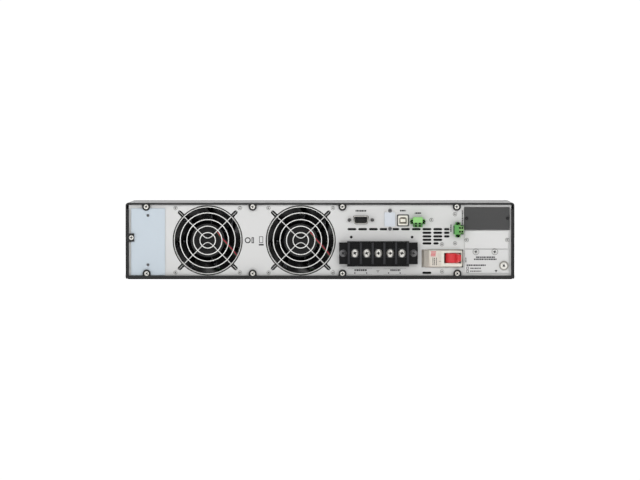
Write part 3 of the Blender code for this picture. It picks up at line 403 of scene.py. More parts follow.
def extruded(name, outlines, start, end):
    """Flat (x, z) outlines with holes, drawn out from y start to y end."""
    curve, guide = curve_object(name, "2D")
    curve.fill_mode = "BOTH"
    curve.extrude = (end - start) * MM / 2
    for outline in outlines:
        add_spline(curve, [(u * MM, v * MM, 0) for u, v in outline])
    guide.rotation_euler = (math.pi / 2, 0, 0)
    guide.location = at(0, (start + end) / 2, 0)
    return settle(guide)


def arc(centre, radius, start, end, steps):
    angles = [math.radians(start + (end - start) * i / steps) for i in range(steps + 1)]
    return [(centre[0] + radius * math.cos(a), centre[1] + radius * math.sin(a)) for a in angles]


def circle(centre, radius, sides):
    return arc(centre, radius, 0, 360, sides)[:-1]


def rounded(low, high, radius, steps):
    corners = (
        ((high[0] - radius, low[1] + radius), -90),
        ((high[0] - radius, high[1] - radius), 0),
        ((low[0] + radius, high[1] - radius), 90),
        ((low[0] + radius, low[1] + radius), 180),
    )
    points = []
    for centre, start in corners:
        points += arc(centre, radius, start, start + 90, steps)
    return points


def joined(name, objects):
    """Several mesh objects as one, in world places."""
    shape = bmesh.new()
    bpy.context.view_layer.update()
    for one in objects:
        mesh = one.data.copy()
        mesh.transform(one.matrix_world)
        shape.from_mesh(mesh)
        bpy.data.objects.remove(one, do_unlink=True)
    return from_shape(name, shape)


def softened(cad_node, width, segments):
    """A copy of a CAD node with its edges rounded, to stand for it."""
    shape = bmesh.new()
    shape.from_mesh(NODES[cad_node].data)
    bmesh.ops.remove_doubles(shape, verts=shape.verts, dist=1e-6)
    bmesh.ops.dissolve_limit(
        shape,
        angle_limit=math.radians(0.5),
        verts=shape.verts,
        edges=shape.edges,
        use_dissolve_boundaries=False,
    )
    return bevel(from_shape(f"{cad_node}_finished", shape), width, segments)


def parted(obj, point, normal):
    """Splits a mesh at a plane and gives the faces past it the second material."""
    point, normal = Vector(point), Vector(normal)
    shape = bmesh.new()
    shape.from_mesh(obj.data)
    everything = shape.verts[:] + shape.edges[:] + shape.faces[:]
    bmesh.ops.bisect_plane(shape, geom=everything, plane_co=point, plane_no=normal, dist=1e-7)
    for face in shape.faces:
        face.material_index = int((face.calc_center_median() - point).dot(normal) > 0)
    shape.to_mesh(obj.data)
    shape.free()
    return obj


def corner_outline(x, z, side_x, side_z, radius, steps=8):
    """What a rounded corner leaves of a square one, as the outline of a cutter."""
    spare = 1.0
    outline = [(x + side_x * spare, z - side_z * radius)]
    for step in range(steps + 1):
        angle = math.pi / 2 * step / steps
        u, v = 1 - math.cos(angle), 1 - math.sin(angle)
        outline.append((x - side_x * radius * u, z - side_z * radius * v))
    return outline + [(x - side_x * radius, z + side_z * spare), (x + side_x * spare, z + side_z * spare)]


def bridged(name, rings, capped=True):
    """The surface between two rings of corners in metres, with a face over each ring where capped."""
    shape = bmesh.new()
    near, far = [[shape.verts.new(corner) for corner in ring] for ring in rings]
    if capped:
        shape.faces.new(near)
        shape.faces.new(far)
    for index in range(len(near)):
        shape.faces.new((near[index - 1], near[index], far[index], far[index - 1]))
    bmesh.ops.recalc_face_normals(shape, faces=shape.faces)
    return from_shape(name, shape)


def across(name, outline, low, high):
    """A solid that runs along X, from its outline in Y and Z about its own origin."""
    return bridged(name, [[Vector((x, y, z)) * MM for y, z in outline] for x in (low, high)])


def show(obj, materials, body="root", stands_for=None):
    """Gives a piece its material or materials and its body, and hides the CAD node it stands for."""
    if stands_for:
        evened(obj)
    several = isinstance(materials, tuple)
    indices = [side.material_index for side in obj.data.polygons]
    obj.data.materials.clear()
    for material in materials if several else (materials,):
        obj.data.materials.append(material)
    if several:
        obj.data.polygons.foreach_set("material_index", indices)
    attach(obj, body)
    if stands_for:
        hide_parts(stands_for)
    return obj


def show_cad(cad_node, width, segments, material, body="root"):
    """Shows a CAD node as it is but for its rounded edges."""
    show(softened(cad_node, width, segments), material, body, cad_node)


# --- Fasteners ---


def recess(size, depth, top):
    """A cross-shaped cutter, narrower towards its bottom, about a head's top at the given height."""
    half, arm = size / 2, size * 0.15
    corners = []
    for turn in range(4):
        spin = Matrix.Rotation(math.pi / 2 * turn, 2)
        corners += [spin @ Vector(corner) for corner in ((arm, -arm), (half, -arm), (half, arm))]
    mouth = [(x * MM, -(top + depth) * MM, z * MM) for x, z in corners]
    foot = [(x * 0.55 * MM, -(top - depth) * MM, z * 0.55 * MM) for x, z in corners]
    return bridged("cross", (mouth, foot))


def cross_head(name, radius, height, drive=1.0):
    """A low-domed head that stands on its origin, with the faces of its cross in the second material."""
    crown = 0.86 * radius

    def dome(distance):
        return height - 0.17 * distance**2 / crown

    profile = [(crown * step / 6, dome(crown * step / 6)) for step in range(7)]
    profile += [(0.965 * radius, dome(crown) * 0.8), (radius, dome(crown) * 0.5), (radius, 0), (0, 0)]
    size = 1.35 * radius * drive
    head = cut(lathe(name, profile, 32), recess(size, height * 0.6, height))
    for face in head.data.polygons:
        x, y, z = face.center / MM
        distance = math.hypot(x, z)
        face.material_index = int(distance < size * 0.55 and -y < dome(distance) - 0.05)
    return head


def copies(source, name, places, material, stands_for=None, seat=0.0):
    """The same fastener at several places, each its own piece, and where asked a dark ring under each: a
    painted shadow round the head.
    """
    rings = []
    for number, (x, y, z) in enumerate(places, 1):
        one = new_object(f"{name}_{number}", source.data.copy())
        put(one, x, y, z, random.uniform(0, 90))
        show(one, (material, RECESS), "root", stands_for and f"{stands_for}_{number}")
        # A thin dark ring round the head's foot: a painted shadow.
        if seat:
            inner = source.dimensions.x / 2 / MM - 0.2
            outer = inner + 0.2 + seat
            ring = lathe("ring", [(outer, 0.15), (outer, 0), (inner, 0), (inner, 0.15), (outer, 0.15)], 28)
            rings.append(put(ring, x, y, z))
    if rings:
        show(joined(f"{name}_painted_shadow_rings", rings), DARK_ZINC)
    bpy.data.objects.remove(source, do_unlink=True)


def make_cover_screws():
    middles = [middle_mm(f"cover_screw_{number}") for number in range(1, 10)]
    places = [(middle.x, -0.3, middle.z) for middle in middles]
    head = cross_head("cover_screw", 2.6, 2.0, 1.2)
    copies(head, "cover_screw_head", places, NICKEL, "cover_screw")


def make_panel_screws():
    """The screws and rivets in the panel and the plates."""
    reach = (-FAN_SCREW_REACH, FAN_SCREW_REACH)
    fan = [(place.x + dx, place.z + dz) for place in FAN_PLACES.values() for dx in reach for dz in reach]
    board = [(123.8, 65.8), (149.9, 72.3), (150.0, 39.9), (135.5, 38.8), (135.6, 8.7)]
    panel, plate, light = PANEL_FACE, PLATE_FACE, "light_panel"
    # seat is the width of the painted shadow ring round each head, none where it is 0.
    for label, radius, height, y, material, slot, seat, spots in (
        ("fan", 1.9, 0.9, panel, PALE_ZINC, light, 0.3, fan),
        ("board", 1.9, 0.9, panel, PALE_ZINC, light, 0.35, board),
        ("plate", 2.0, 0.9, plate, PALE_ZINC, light, 0.35, [(163.0, 43.6), (208.0, 43.6)]),
        ("input_plate", 3.2, 1.3, plate, PALE_ZINC, light, 0.4, [(173.2, 30.5), (194.2, 30.5)]),
        ("slot_cover", 1.9, 0.8, plate, BLACK, "dark_plate", 0.0, [(162.9, 67.7), (208.4, 67.7)]),
        ("battery_cover", 1.6, 0.9, plate, DARK_ZINC, "nickel", 0.0, [(-191.1, 70.8), (-191.1, 16.0)]),
        ("blank", 1.9, 0.9, plate, DARK_ZINC, light, 0.35, [(77.8, 76.2), (77.8, 56.1)]),
    ):
        name = f"{label}_screw"
        places = [(x, y, z) for x, z in spots]
        copies(cross_head(name, radius, height), name, places, material, seat=seat)


def make_earth_screw():
    """A large pan head on a flanged, toothed washer."""
    middle = middle_mm("earth_screw")
    seat = PLATE_FACE - 0.3
    profile = [(0, 1.0), (4.6, 1.0), (5.1, 0.75), (5.25, 0.4), (5.25, 0), (0, 0)]
    ring = put(lathe("earth_screw_washer", profile), middle.x, seat, middle.z)
    show(ring, PORT_FRAME)
    head = cross_head("earth_screw_head", 3.8, 2.4, 0.9)
    put(head, middle.x, seat - 1.0, middle.z, 45)
    show(head, (NICKEL, RECESS), "root", "earth_screw")
    teeth = []
    for turn in range(16):
        angle = 2 * math.pi * turn / 16
        x, z = middle.x + 4.9 * math.cos(angle), middle.z + 4.9 * math.sin(angle)
        tooth = box("tooth", (-0.45, -0.15, -0.6), (0.45, 0.15, 0.6), 0.1)
        tooth.location = at(x, PLATE_FACE - 0.25, z)
        tooth.rotation_euler = (math.radians(12), -angle, 0)
        teeth.append(tooth)
    show(joined("earth_star_washer", teeth), STEEL)


# --- Case ---


def make_case():
    for name in ("top_cover", "base_tray"):
        shell = softened(name, 0.35, 3)
        for side in (-1, 1):
            outline = corner_outline(side * CASE_HIGH.x, 0, side, -1, 2.8)
            cut(shell, extruded("corner", [outline], -1, CASE_HIGH.y + 1))
        if name == "top_cover":
            outline = corner_outline(0, CASE_HIGH.z, -1, 1, 1.3, 7)
            fold = across("fold", outline, CASE_LOW.x - 1, CASE_HIGH.x + 1)
            fold.location = at(0, 0, 0)
            cut(shell, fold)
        show(shell, COAT, stands_for=name)
    show_cad("rear_panel", 0.06, 1, PAINT)
    show_cad("lower_blank_plate", 0.25, 2, PAINT)
    show_cad("input_plate", 0.25, 2, PAINT)
    show_cad("battery_port_cover", 0.25, 2, FILM)
    show_cad("comm_blank_plate", 0.25, 2, PAINT)
    film = box("comm_plate_film", (71.6, PLATE_FACE - 0.12, 58.6), (83.5, PLATE_FACE + 0.05, 74.3), 0.05)
    show(film, PALE_FILM)
    show_cad("slot_cover", 0.3, 2, DARK_PAINT)
    show_cad("front_frame", 0.2, 2, COAT)


def make_side_fasteners():
    """Flush screws along the sides, where the cover meets the tray."""
    heads = []
    for side in (-1, 1):
        for y in (60, 190, 320, 450):
            profile = [(0, -0.15), (2.7, -0.1), (3.0, -0.35), (2.0, -1.3), (0, -1.3)]
            head = lathe("side_screw", profile, 28, axis="Z")
            cross = recess(3.4, 0.9, -0.1)
            cross.rotation_euler = (-math.pi / 2, 0, 0)
            cut(head, cross)
            head.rotation_euler = (0, side * math.pi / 2, 0)
            head.location = at(side * (CASE_HIGH.x + 0.28), y, 12.0)
            heads.append(head)
    show(joined("side_screws", heads), STEEL)


# --- Fans ---


def fan_blades(place, y_low, y_high):
    """Seven curved blades about the fan's axis."""
    blades, steps_out, steps_along = 7, 10, 8
    shape = bmesh.new()
    for blade in range(blades):
        grid = []
        for i in range(steps_out + 1):
            u = i / steps_out
            r = 17.8 + u * 18.6
            row = []
            for j in range(steps_along + 1):
                v = j / steps_along
                half = math.radians(24 - 3 * u)
                sweep = math.radians(10) * u**1.5
                angle = 2 * math.pi * blade / blades + (2 * v - 1) * half + sweep
                rise = (v - 0.5) + 0.12 * math.sin(math.pi * v)
                x, z = place.x + r * math.cos(angle), place.z + r * math.sin(angle)
                y = (y_low + y_high) / 2 + rise * (y_high - y_low) * (0.92 - 0.18 * u)
                row.append(shape.verts.new(at(x, y, z)))
            grid.append(row)
        for first, second in zip(grid, grid[1:]):
            for j in range(steps_along):
                shape.faces.new((first[j], first[j + 1], second[j + 1], second[j]))
    obj = from_shape("blades", shape)
    return bevel(modified(obj, "SOLIDIFY", thickness=1.3 * MM, offset=0), 0.3, 2, 50)


def make_rotor(number, place):
    name = f"fan_rotor_{number}"
    low, high = box_mm(name)
    deep = high.y - low.y
    profile = [(0, deep), (17.0, deep), (18.2, deep - 0.6), (18.5, deep - 1.8)]
    profile += [(18.5, 1.0), (17.8, 0.2), (0, 0.2)]
    hub = put(lathe("hub", profile, 72), place.x, high.y, place.z)
    rotor = joined(f"{name}_finished", [hub, fan_blades(place, low.y + 1.2, high.y - 0.8)])
    show(rotor, FAN_BLACK, name, name)


def fan_arm(place, angle, y_low, y_high):
    """One slanting arm with a rounded, tapering section."""
    twist = math.radians(27)
    start = Vector((math.cos(angle), math.sin(angle))) * 17.0
    end = Vector((math.cos(angle - twist), math.sin(angle - twist))) * 38.6
    along = end - start
    arm = box("arm", (-along.length / 2, y_low, -1.7), (along.length / 2, y_high, 1.7), 0.7, 3)
    centre = (start + end) / 2
    arm.location = at(place.x + centre.x, (y_low + y_high) / 2, place.z + centre.y)
    arm.rotation_euler = (0, -math.atan2(along.y, along.x), 0)
    return arm


def around(place, y, outline, side=1):
    """An outline about a fan's axis as places, upside down where side is -1."""
    return [(place.x + u, y, place.z + side * v) for u, v in outline]


def make_fan_frame(number, place):
    low, high = box_mm(f"fan_frame_{number}")
    flange = 4.0
    outer = rounded((low.x, low.z), (high.x, high.z), 4.5, 8)
    holes = [
        circle((place.x + side_x * FAN_SCREW_REACH, place.z + side_z * FAN_SCREW_REACH), 2.15, 24)
        for side_x in (-1, 1)
        for side_z in (-1, 1)
    ]
    plates = [outer, circle((place.x, place.z), 38.0, 128), *holes]
    waist = rounded((low.x + 0.8, low.z + 0.8), (high.x - 0.8, high.z - 0.8), 12, 8)
    barrel = [waist, circle((place.x, place.z), 38.05, 128)]
    pieces = [
        bevel(extruded("rear_flange", plates, low.y, low.y + flange), 0.4, 2),
        bevel(extruded("front_flange", plates, high.y - flange, high.y), 0.4, 2),
        extruded("barrel", barrel, low.y + flange - 0.1, high.y - flange + 0.1),
    ]
    pieces += [fan_arm(place, math.radians(90 * turn), low.y + 2.7, low.y + 5.6) for turn in range(4)]
    top = 3.3
    seat = [(0, top - 0.5), (13.2, top - 0.5), (13.6, top), (17.6, top), (18.7, top - 0.7)]
    seat += [(19.0, top - 1.6), (19.0, 0.2), (0, 0.2)]
    pieces.append(put(lathe("seat", seat, 96), place.x, low.y + 5.6, place.z))
    housing = joined(f"fan_frame_{number}_finished", pieces)
    notch = box("notch", (place.x + 30, low.y - 1, place.z - 21), (high.x + 1, low.y + 3.0, place.z - 15.6))
    cut(housing, notch)
    show(housing, FAN_BLACK, stands_for=f"fan_frame_{number}")
    rings = []
    for radius in (15.4, 16.6):
        spots = around(place, low.y + 2.35, circle((0, 0), radius, 96))
        rings.append(wire("ridge", spots, 0.35, True, 8))
    show(joined(f"fan_seat_ridges_{number}", rings), FAN_BLACK)
    disc = lathe("disc", [(0, 0.12), (12.6, 0.12), (12.8, 0), (0, 0)], 72)
    show(put(disc, place.x, low.y + 2.75, place.z), STICKER).name = f"fan_seat_disc_{number}"


def make_guard(number, place):
    """Wire rings on two bent legs, whose ends loop round the fan screws."""
    low, high = box_mm(f"fan_guard_{number}")
    radius = 0.52
    ring_y, leg_y = low.y + radius, high.y - radius
    pieces, legs = [], []
    for r in (8.6, 15.8, 23.1, 30.5, 37.2):
        pieces.append(wire("ring", around(place, ring_y, circle((0, 0), r, 96)), radius, True))
    for side in (1, -1):
        slope = [(-34.4 + 29.4 * i / 8, 34.4 - 29.4 * i / 8) for i in range(8)]
        turn = []
        for i in range(13):
            t = i / 12
            u = -5.0 * (1 - t) ** 2 + 5.0 * t**2
            v = 5.0 * (1 - t) ** 2 + 5.0 * t**2
            turn.append((u, v))
        bend = slope + turn + [(-u, v) for u, v in reversed(slope)]
        legs.append(wire("leg", around(place, leg_y, bend, side), radius))
        for end in (-1, 1):
            eye = circle((end * 36.2, 36.2), 2.5, 24)
            legs.append(wire("eye", around(place, leg_y, eye, side), radius, True))
    guard = joined(f"fan_guard_{number}_finished", pieces)
    show(guard, WIRE, stands_for=f"fan_guard_{number}")
    # The legs take the darker wire: painted shade behind the rings.
    show(joined(f"fan_guard_legs_{number}", legs), LEG_WIRE_SHADE)


# A fan lead's middle wire: x and z from the fan's axis, y from the rear edge.
LEAD_ROUTE = (
    (9.4, 9.4, 10.6), (13.4, 9.3, 5.8), (17.5, 9.2, 0.6), (24.0, 9.2, -6.4), (30.0, 9.2, -13.6),
    (33.5, 9.2, -17.6), (37.5, 9.2, -18.6), (41.0, 9.8, -18.8), (43.0, 12.7, -19.2), (43.4, 18.2, -20.0),
    (43.4, 29.2, -22.5), (43.0, 41.2, -26.0), (42.6, 51.2, -28.6), (42.4, 57.2, -30.4),
)


def spline_points(points):
    """Catmull-Rom points through a route."""
    steps = 6
    ends = [points[0], *points, points[-1]]
    smooth = []
    for before, start, end, after in zip(ends, ends[1:], ends[2:], ends[3:]):
        p0, p1, p2, p3 = (Vector(p) for p in (before, start, end, after))
        for i in range(steps):
            t = i / steps
            smooth.append(
                0.5 * ((2 * p1) + (p2 - p0) * t + (2 * p0 - 5 * p1 + 4 * p2 - p3) * t**2
                       + (3 * p1 - p0 - 3 * p2 + p3) * t**3)
            )
    return smooth + [Vector(points[-1])]


def make_lead(number, place):
    """Three thin wires lying side by side along the arm and down to the board."""
    route = spline_points(LEAD_ROUTE)
    wires = (("red", LEAD_RED, 0.0), ("black", LEAD_BLACK, -1.3), ("green", LEAD_GREEN, 1.2))
    for name, material, shift in wires:
        spots = []
        for index, spot in enumerate(route):
            ahead = route[min(index + 1, len(route) - 1)] - route[max(index - 1, 0)]
            side = Vector((ahead.z, 0, -ahead.x)).normalized() if index < 42 else Vector((1, 0, 0))
            moved = spot + side * shift * 0.85
            spots.append((place.x + moved.x, moved.y, place.z + moved.z))
        lead = wire(f"fan_lead_{number}_{name}", spots, 0.55, sides=10)
        node_name, slot = (f"fan_lead_{number}", "lead_red") if name == "red" else (None, None)
        show(lead, material, stands_for=node_name)


def make_slot_shade_sheet():
    """A folded black sheet between the vent slots and the boards behind them, there to keep the slots dark:
    painted shade.
    """
    low, high = (29.0, 37.6), (146.6, 57.4)
    sheet = box("sheet", (low[0], 7.0, low[1]), (high[0], 7.3, high[1]), 0.1)
    shelf = box("shelf", (low[0], 7.0, low[1]), (high[0], 12.0, low[1] + 0.3), 0.1)
    show(joined("slot_shade_sheet", [sheet, shelf]), BLACK)


def make_hole_rings():
    """A black ring at each fan hole's edge: painted shade along the edge."""
    for number, place in FAN_PLACES.items():
        profile = [(38.9, 0), (38.8, 0.2), (38.4, 0.3), (38.0, 0.25), (37.95, 0), (38.9, 0)]
        ring = put(lathe("ring", profile, 128), place.x, PANEL_FACE, place.z)
        show(ring, BLACK).name = f"fan_hole_edge_{number}"


# --- Connectors ---


def make_serial_port():
    show_cad("serial_port_shell", 0.3, 3, NICKEL)
    show_cad("serial_port_insert", 0.3, 2, BLACK)
    middle = middle_mm("serial_port_insert")
    face = box_mm("serial_port_insert")[0].y
    holes = []
    for row, count in ((1.42, 5), (-1.42, 4)):
        for i in range(count):
            x = middle.x + (i - (count - 1) / 2) * 2.76
            profile = [(0.62, 0.05), (0.62, -0.4), (0.42, -0.4), (0.42, 0.05), (0.62, 0.05)]
            holes.append(put(lathe("contact", profile, 20), x, face, middle.z + row))
    show(joined("serial_contacts", holes), BLACK)
    rim = box_mm("serial_port_shell")[0].y
    loops = []
    for half_wide, low, high, y in ((7.9, -3.75, 3.75, rim + 0.3), (5.9, -1.2, 3.3, rim + 4.6)):
        foot = half_wide - 0.18 * (high - low)
        corners = ((-foot, low), (foot, low), (half_wide, high), (-half_wide, high))
        loops.append([at(middle.x + u, y, middle.z + v) for u, v in corners])
    funnel = bridged("serial_port_funnel", loops, False)
    show(modified(funnel, "SOLIDIFY", thickness=0.2 * MM, offset=0), PORT_SHELL)
    for side, label in ((-1, "left"), (1, "right")):
        centre = (middle.x + side * 12.8, middle.z)
        outline = [circle(centre, 2.05, 6), circle(centre, 1.0, 24)]
        nut = extruded("nut", outline, PANEL_FACE - 3.6, PANEL_FACE)
        nut.name = f"serial_jack_screw_{label}"
        show(bevel(nut, 0.25, 2), DARK_PAINT)


def make_usb_port():
    """A thin metal shell round a white housing, whose opening has two cut corners and holds the tongue."""
    low, high = box_mm("usb_port_shell")
    x, z, half = (low.x + high.x) / 2, (low.z + high.z) / 2, (high.x - low.x) / 2
    sizes = (half, half - 0.75)
    square = [rounded((x - size, z - size), (x + size, z + size), size * 0.22, 5) for size in sizes]
    shell = extruded("usb_port_shell_finished", square, low.y, high.y)
    show(bevel(shell, 0.15, 2), PORT_SHELL, stands_for="usb_port_shell")
    wide, up, corner = 4.1, 3.7, 1.7
    opening = [(-wide, -up), (wide, -up), (wide, up - corner), (wide - corner, up)]
    opening += [(corner - wide, up), (-wide, up - corner)]
    opening = [(x + u, z + v) for u, v in opening]
    outline = rounded((x - half + 0.8, z - half + 0.8), (x + half - 0.8, z + half - 0.8), 1.0, 4)
    housing = extruded("usb_port_housing", [outline, opening], low.y + 0.2, high.y - 0.5)
    show(bevel(housing, 0.2, 2), WHITE_PLASTIC)
    # The housing's back wall behind the tongue, in grey: painted shade on the white plastic.
    floor = box("usb_port_shaded_floor", (x - 4.4, low.y + 5.0, z - 4.0), (x + 4.4, low.y + 5.6, z + 4.0), 0.1)
    show(floor, PORT_FRAME)
    show_cad("usb_port_tongue", 0.25, 2, WHITE_PLASTIC)
    low, high = box_mm("usb_port_tongue")
    contacts = []
    for side in (low.x + 1.3, high.x - 1.3):
        for level in (low.z - 0.08, high.z - 0.02):
            near, far = (side - 0.6, low.y + 0.6, level), (side + 0.6, low.y + 8, level + 0.1)
            contacts.append(box("contact", near, far, 0.03))
    show(joined("usb_contacts", contacts), BRASS)


def plug_place(centre, turned, u, v):
    return (centre[0] - v, centre[1] + u) if turned else (centre[0] + u, centre[1] + v)


def make_green_plug(label, centre, turned, materials):
    """A two-way plug in its socket; its materials are the socket's, the plug's and the wire entry's, which
    is painted shade on the EPO plug and painted light on the detection plug.
    """
    socket, body, entry = materials
    show_cad(f"{label}_socket", 0.3, 2, socket)
    x, z = plug_place(centre, turned, 0, -1.2)
    plug = parted(softened(f"{label}_plug", 0.45, 3), at(x, 0, z), (1, 0, 0) if turned else (0, 0, -1))
    show(plug, (body, entry), stands_for=f"{label}_plug")
    face = box_mm(f"{label}_plug")[0].y
    heads, clamps = [], []
    for side in (-1, 1):
        x, z = plug_place(centre, turned, side * 6.5, 0)
        disc = lathe("flange_screw", [(0, 0.4), (1.9, 0.4), (2.05, 0.2), (2.05, 0), (0, 0)], 24)
        groove = box("slot", (-2.0, -0.6, -0.25), (2.0, 0.1, 0.25))
        groove.location = (0, -0.3 * MM, 0)
        heads.append(put(cut(disc, groove), x, face + 3.75, z, 35 * side))
        for level in (-2.1, -4.7):
            x, z = plug_place(centre, turned, side * 2.1, level)
            near, far = (x - 1.15, face + 0.4, z - 1.0), (x + 1.15, face + 1.4, z + 1.0)
            clamps.append(box("clamp", near, far, 0.2))
    # The flange screws and wire clamps sit deep in the plug in a near-black colour: painted shade in their
    # wells and wire holes.
    show(joined(f"{label}_flange_screws", heads), DARK_HOLE)
    show(joined(f"{label}_wire_clamps", clamps), DARK_HOLE)


def make_plug_side_shade():
    """A dark green strip along the detection plug's outer side: painted shade on that side."""
    low, high = box_mm("detect_plug")
    z = (low.z + high.z) / 2
    near, far = (low.x - 0.3, low.y - 0.2, z - 4.4), (low.x + 1.4, low.y + 5.0, z + 4.4)
    show(box("detect_plug_side_shade", near, far, 0.2), SHADE_GREEN)


# --- Terminal block ---


def make_terminal_block():
    block_low, block_high = box_mm("terminal_block")
    # Faces within 0.3 mm of the block's outward side take the lighter copy: a painted highlight on the
    # barriers.
    block = parted(softened("terminal_block", 0.4, 3), at(0, block_low.y + 0.3, 0), (0, -1, 0))
    show(block, (PHENOLIC, BARRIER_HIGHLIGHT), stands_for="terminal_block")
    for number in range(1, 6):
        low, high = box_mm(f"terminal_screw_{number}")
        x, z = (low.x + high.x) / 2, (low.z + high.z) / 2
        seat = high.y - 1.2
        plate = box("plate", (low.x, seat, low.z), (high.x, high.y, high.z), 0.3)
        head = put(cross_head("head", 4.5, 3.0, drive=0.85), x, seat, z, 38 + 13 * number)
        head.name = f"terminal_screw_{number}_finished"
        show(head, (NICKEL, RECESS), stands_for=f"terminal_screw_{number}")
        plate.name = f"terminal_clamp_{number}"
        show(plate, CLAMP_PLATE)
    middle = middle_mm("terminal_screw_3").z
    ears = [(block_low.x + 4.3, -4.0, middle), (block_high.x - 4.6, -4.0, middle)]
    head = cross_head("block_screw", 3.6, 1.8)
    # The block's ear screws get a painted shadow ring 0.5 mm wide.
    copies(head, "terminal_block_screw", ears, DARK_ZINC, seat=0.5)
    rails = []
    for z in (block_low.z + 0.9, block_high.z - 1.5):
        rails.append(box("rail", (30.9, -3.6, z - 0.5), (98.3, -2.2, z + 0.9), 0.3))
    show(joined("terminal_block_rails", rails), PHENOLIC)


# --- Breaker ---


def make_breaker():
    low, high = box_mm("breaker_body")
    face = low.y
    nose_left, nose_right = 113.8, 158.1
    body = softened("breaker_body", 0.4, 3)
    for x, z, side_x, side_z, radius in (
        (nose_left, low.z, -1, -1, 1.4),
        (nose_left, high.z, -1, 1, 1.4),
        (nose_right, low.z, 1, -1, 2.2),
        (nose_right, high.z, 1, 1, 1.2),
    ):
        outline = corner_outline(x, z, side_x, side_z, radius)
        cut(body, extruded("corner", [outline], face - 1, face + 6))
    # Faces left of x 121.5 mm take the shoulder's painted shade, which darkens towards the left edge.
    body = parted(body, at(121.5, 0, 0), (-1, 0, 0))
    show(body, (BEIGE, SHOULDER_PAINTED_SHADE), stands_for="breaker_body")
    # A beige fill in the gap round the breaker's nose, dark past x 157.6 mm: painted shade along the right
    # edge.
    gap_outlines = [rounded((113.4, 13.6), (158.7, 32.6), 1.5, 4), rounded((113.7, 14.0), (158.2, 32.2), 1.2, 4)]
    trim = extruded("breaker_gap_fill_and_shade", gap_outlines, PANEL_FACE + 0.1, PANEL_FACE + 1.7)
    show(parted(trim, at(157.6, 0, 0), (1, 0, 0)), (BEIGE_SHADE, DARK_PAINT))
    outer = rounded((134.6, low.z + 0.5), (157.6, high.z - 0.5), 1.4, 4)
    inner = rounded((137.9, 17.8), (156.9, 29.3), 0.5, 3)
    collar = extruded("breaker_collar", [outer, inner], face - 0.35, face + 0.4)
    show(bevel(collar, 0.25, 2), CREAM)
    ribs = [box("rib", (x, face - 0.2, low.z + 0.8), (x + wide, face + 0.3, z), 0.1)
            for x, wide, z in ((121.3, 0.4, 27.0), (131.6, 0.5, 30.0), (133.0, 0.5, 27.5))]
    show(joined("breaker_ribs", ribs), BEIGE_SHADE)
    toggle = middle_mm("breaker_toggle").z
    lean, half = math.radians(30), 5.3
    profile = [(8.1, half), (8.5, half - 0.4), (8.5, 0.4 - half), (8.1, -half)]
    barrel = lathe("breaker_lever", [(0, half), *profile, (0, -half)], 64, axis="Z")
    barrel.location = at(147.4, 4.5, toggle)
    outline = [(0, -half), (-9.6, -half), (-15, 1.9 - half), (-15, half - 1.9), (-9.6, half), (0, half)]
    arm = across("arm", outline, -2.2, 2.2)
    arm.location = barrel.location
    arm.rotation_euler = (0, 0, lean)
    lever = bevel(cut(barrel, bevel(arm, 0.5, 3), "UNION"), 0.15, 2, 50)
    show(lever, RED, "breaker_toggle", "breaker_toggle")


# --- Printing ---


def bar(x, z, width, height, face):
    return box("bar", (x, face - 0.06, z - height / 2), (x + width, face - 0.01, z + height / 2), 0.02, 1)


def print_line(start, end, level, size, face, upright=False):
    """A row or a column of short plain bars, word by word."""
    made = []
    while start < end:
        length = min(random.uniform(0.7, 2.0 if upright else 2.3), end - start)
        if upright:
            made.append(bar(level - size / 2, start + length / 2, size, length, face))
        elif length > 0.3:
            made.append(bar(start, level, length, size, face))
        start += length + random.uniform(0.25, 0.45)
    return made


def print_wedge(x, top, widths, height, face):
    """A small downward arrowhead of stacked bars."""
    return [bar(x - wide / 2, top - 0.9 * row, wide, height, face) for row, wide in enumerate(widths)]


def printed_frame(low, high, line, face):
    """A rounded rectangle's outline in ink."""
    inner = rounded((low[0] + line, low[1] + line), (high[0] - line, high[1] - line), 0.2, 2)
    return extruded("frame", [rounded(low, high, 0.4, 3), inner], face - 0.06, face - 0.01)


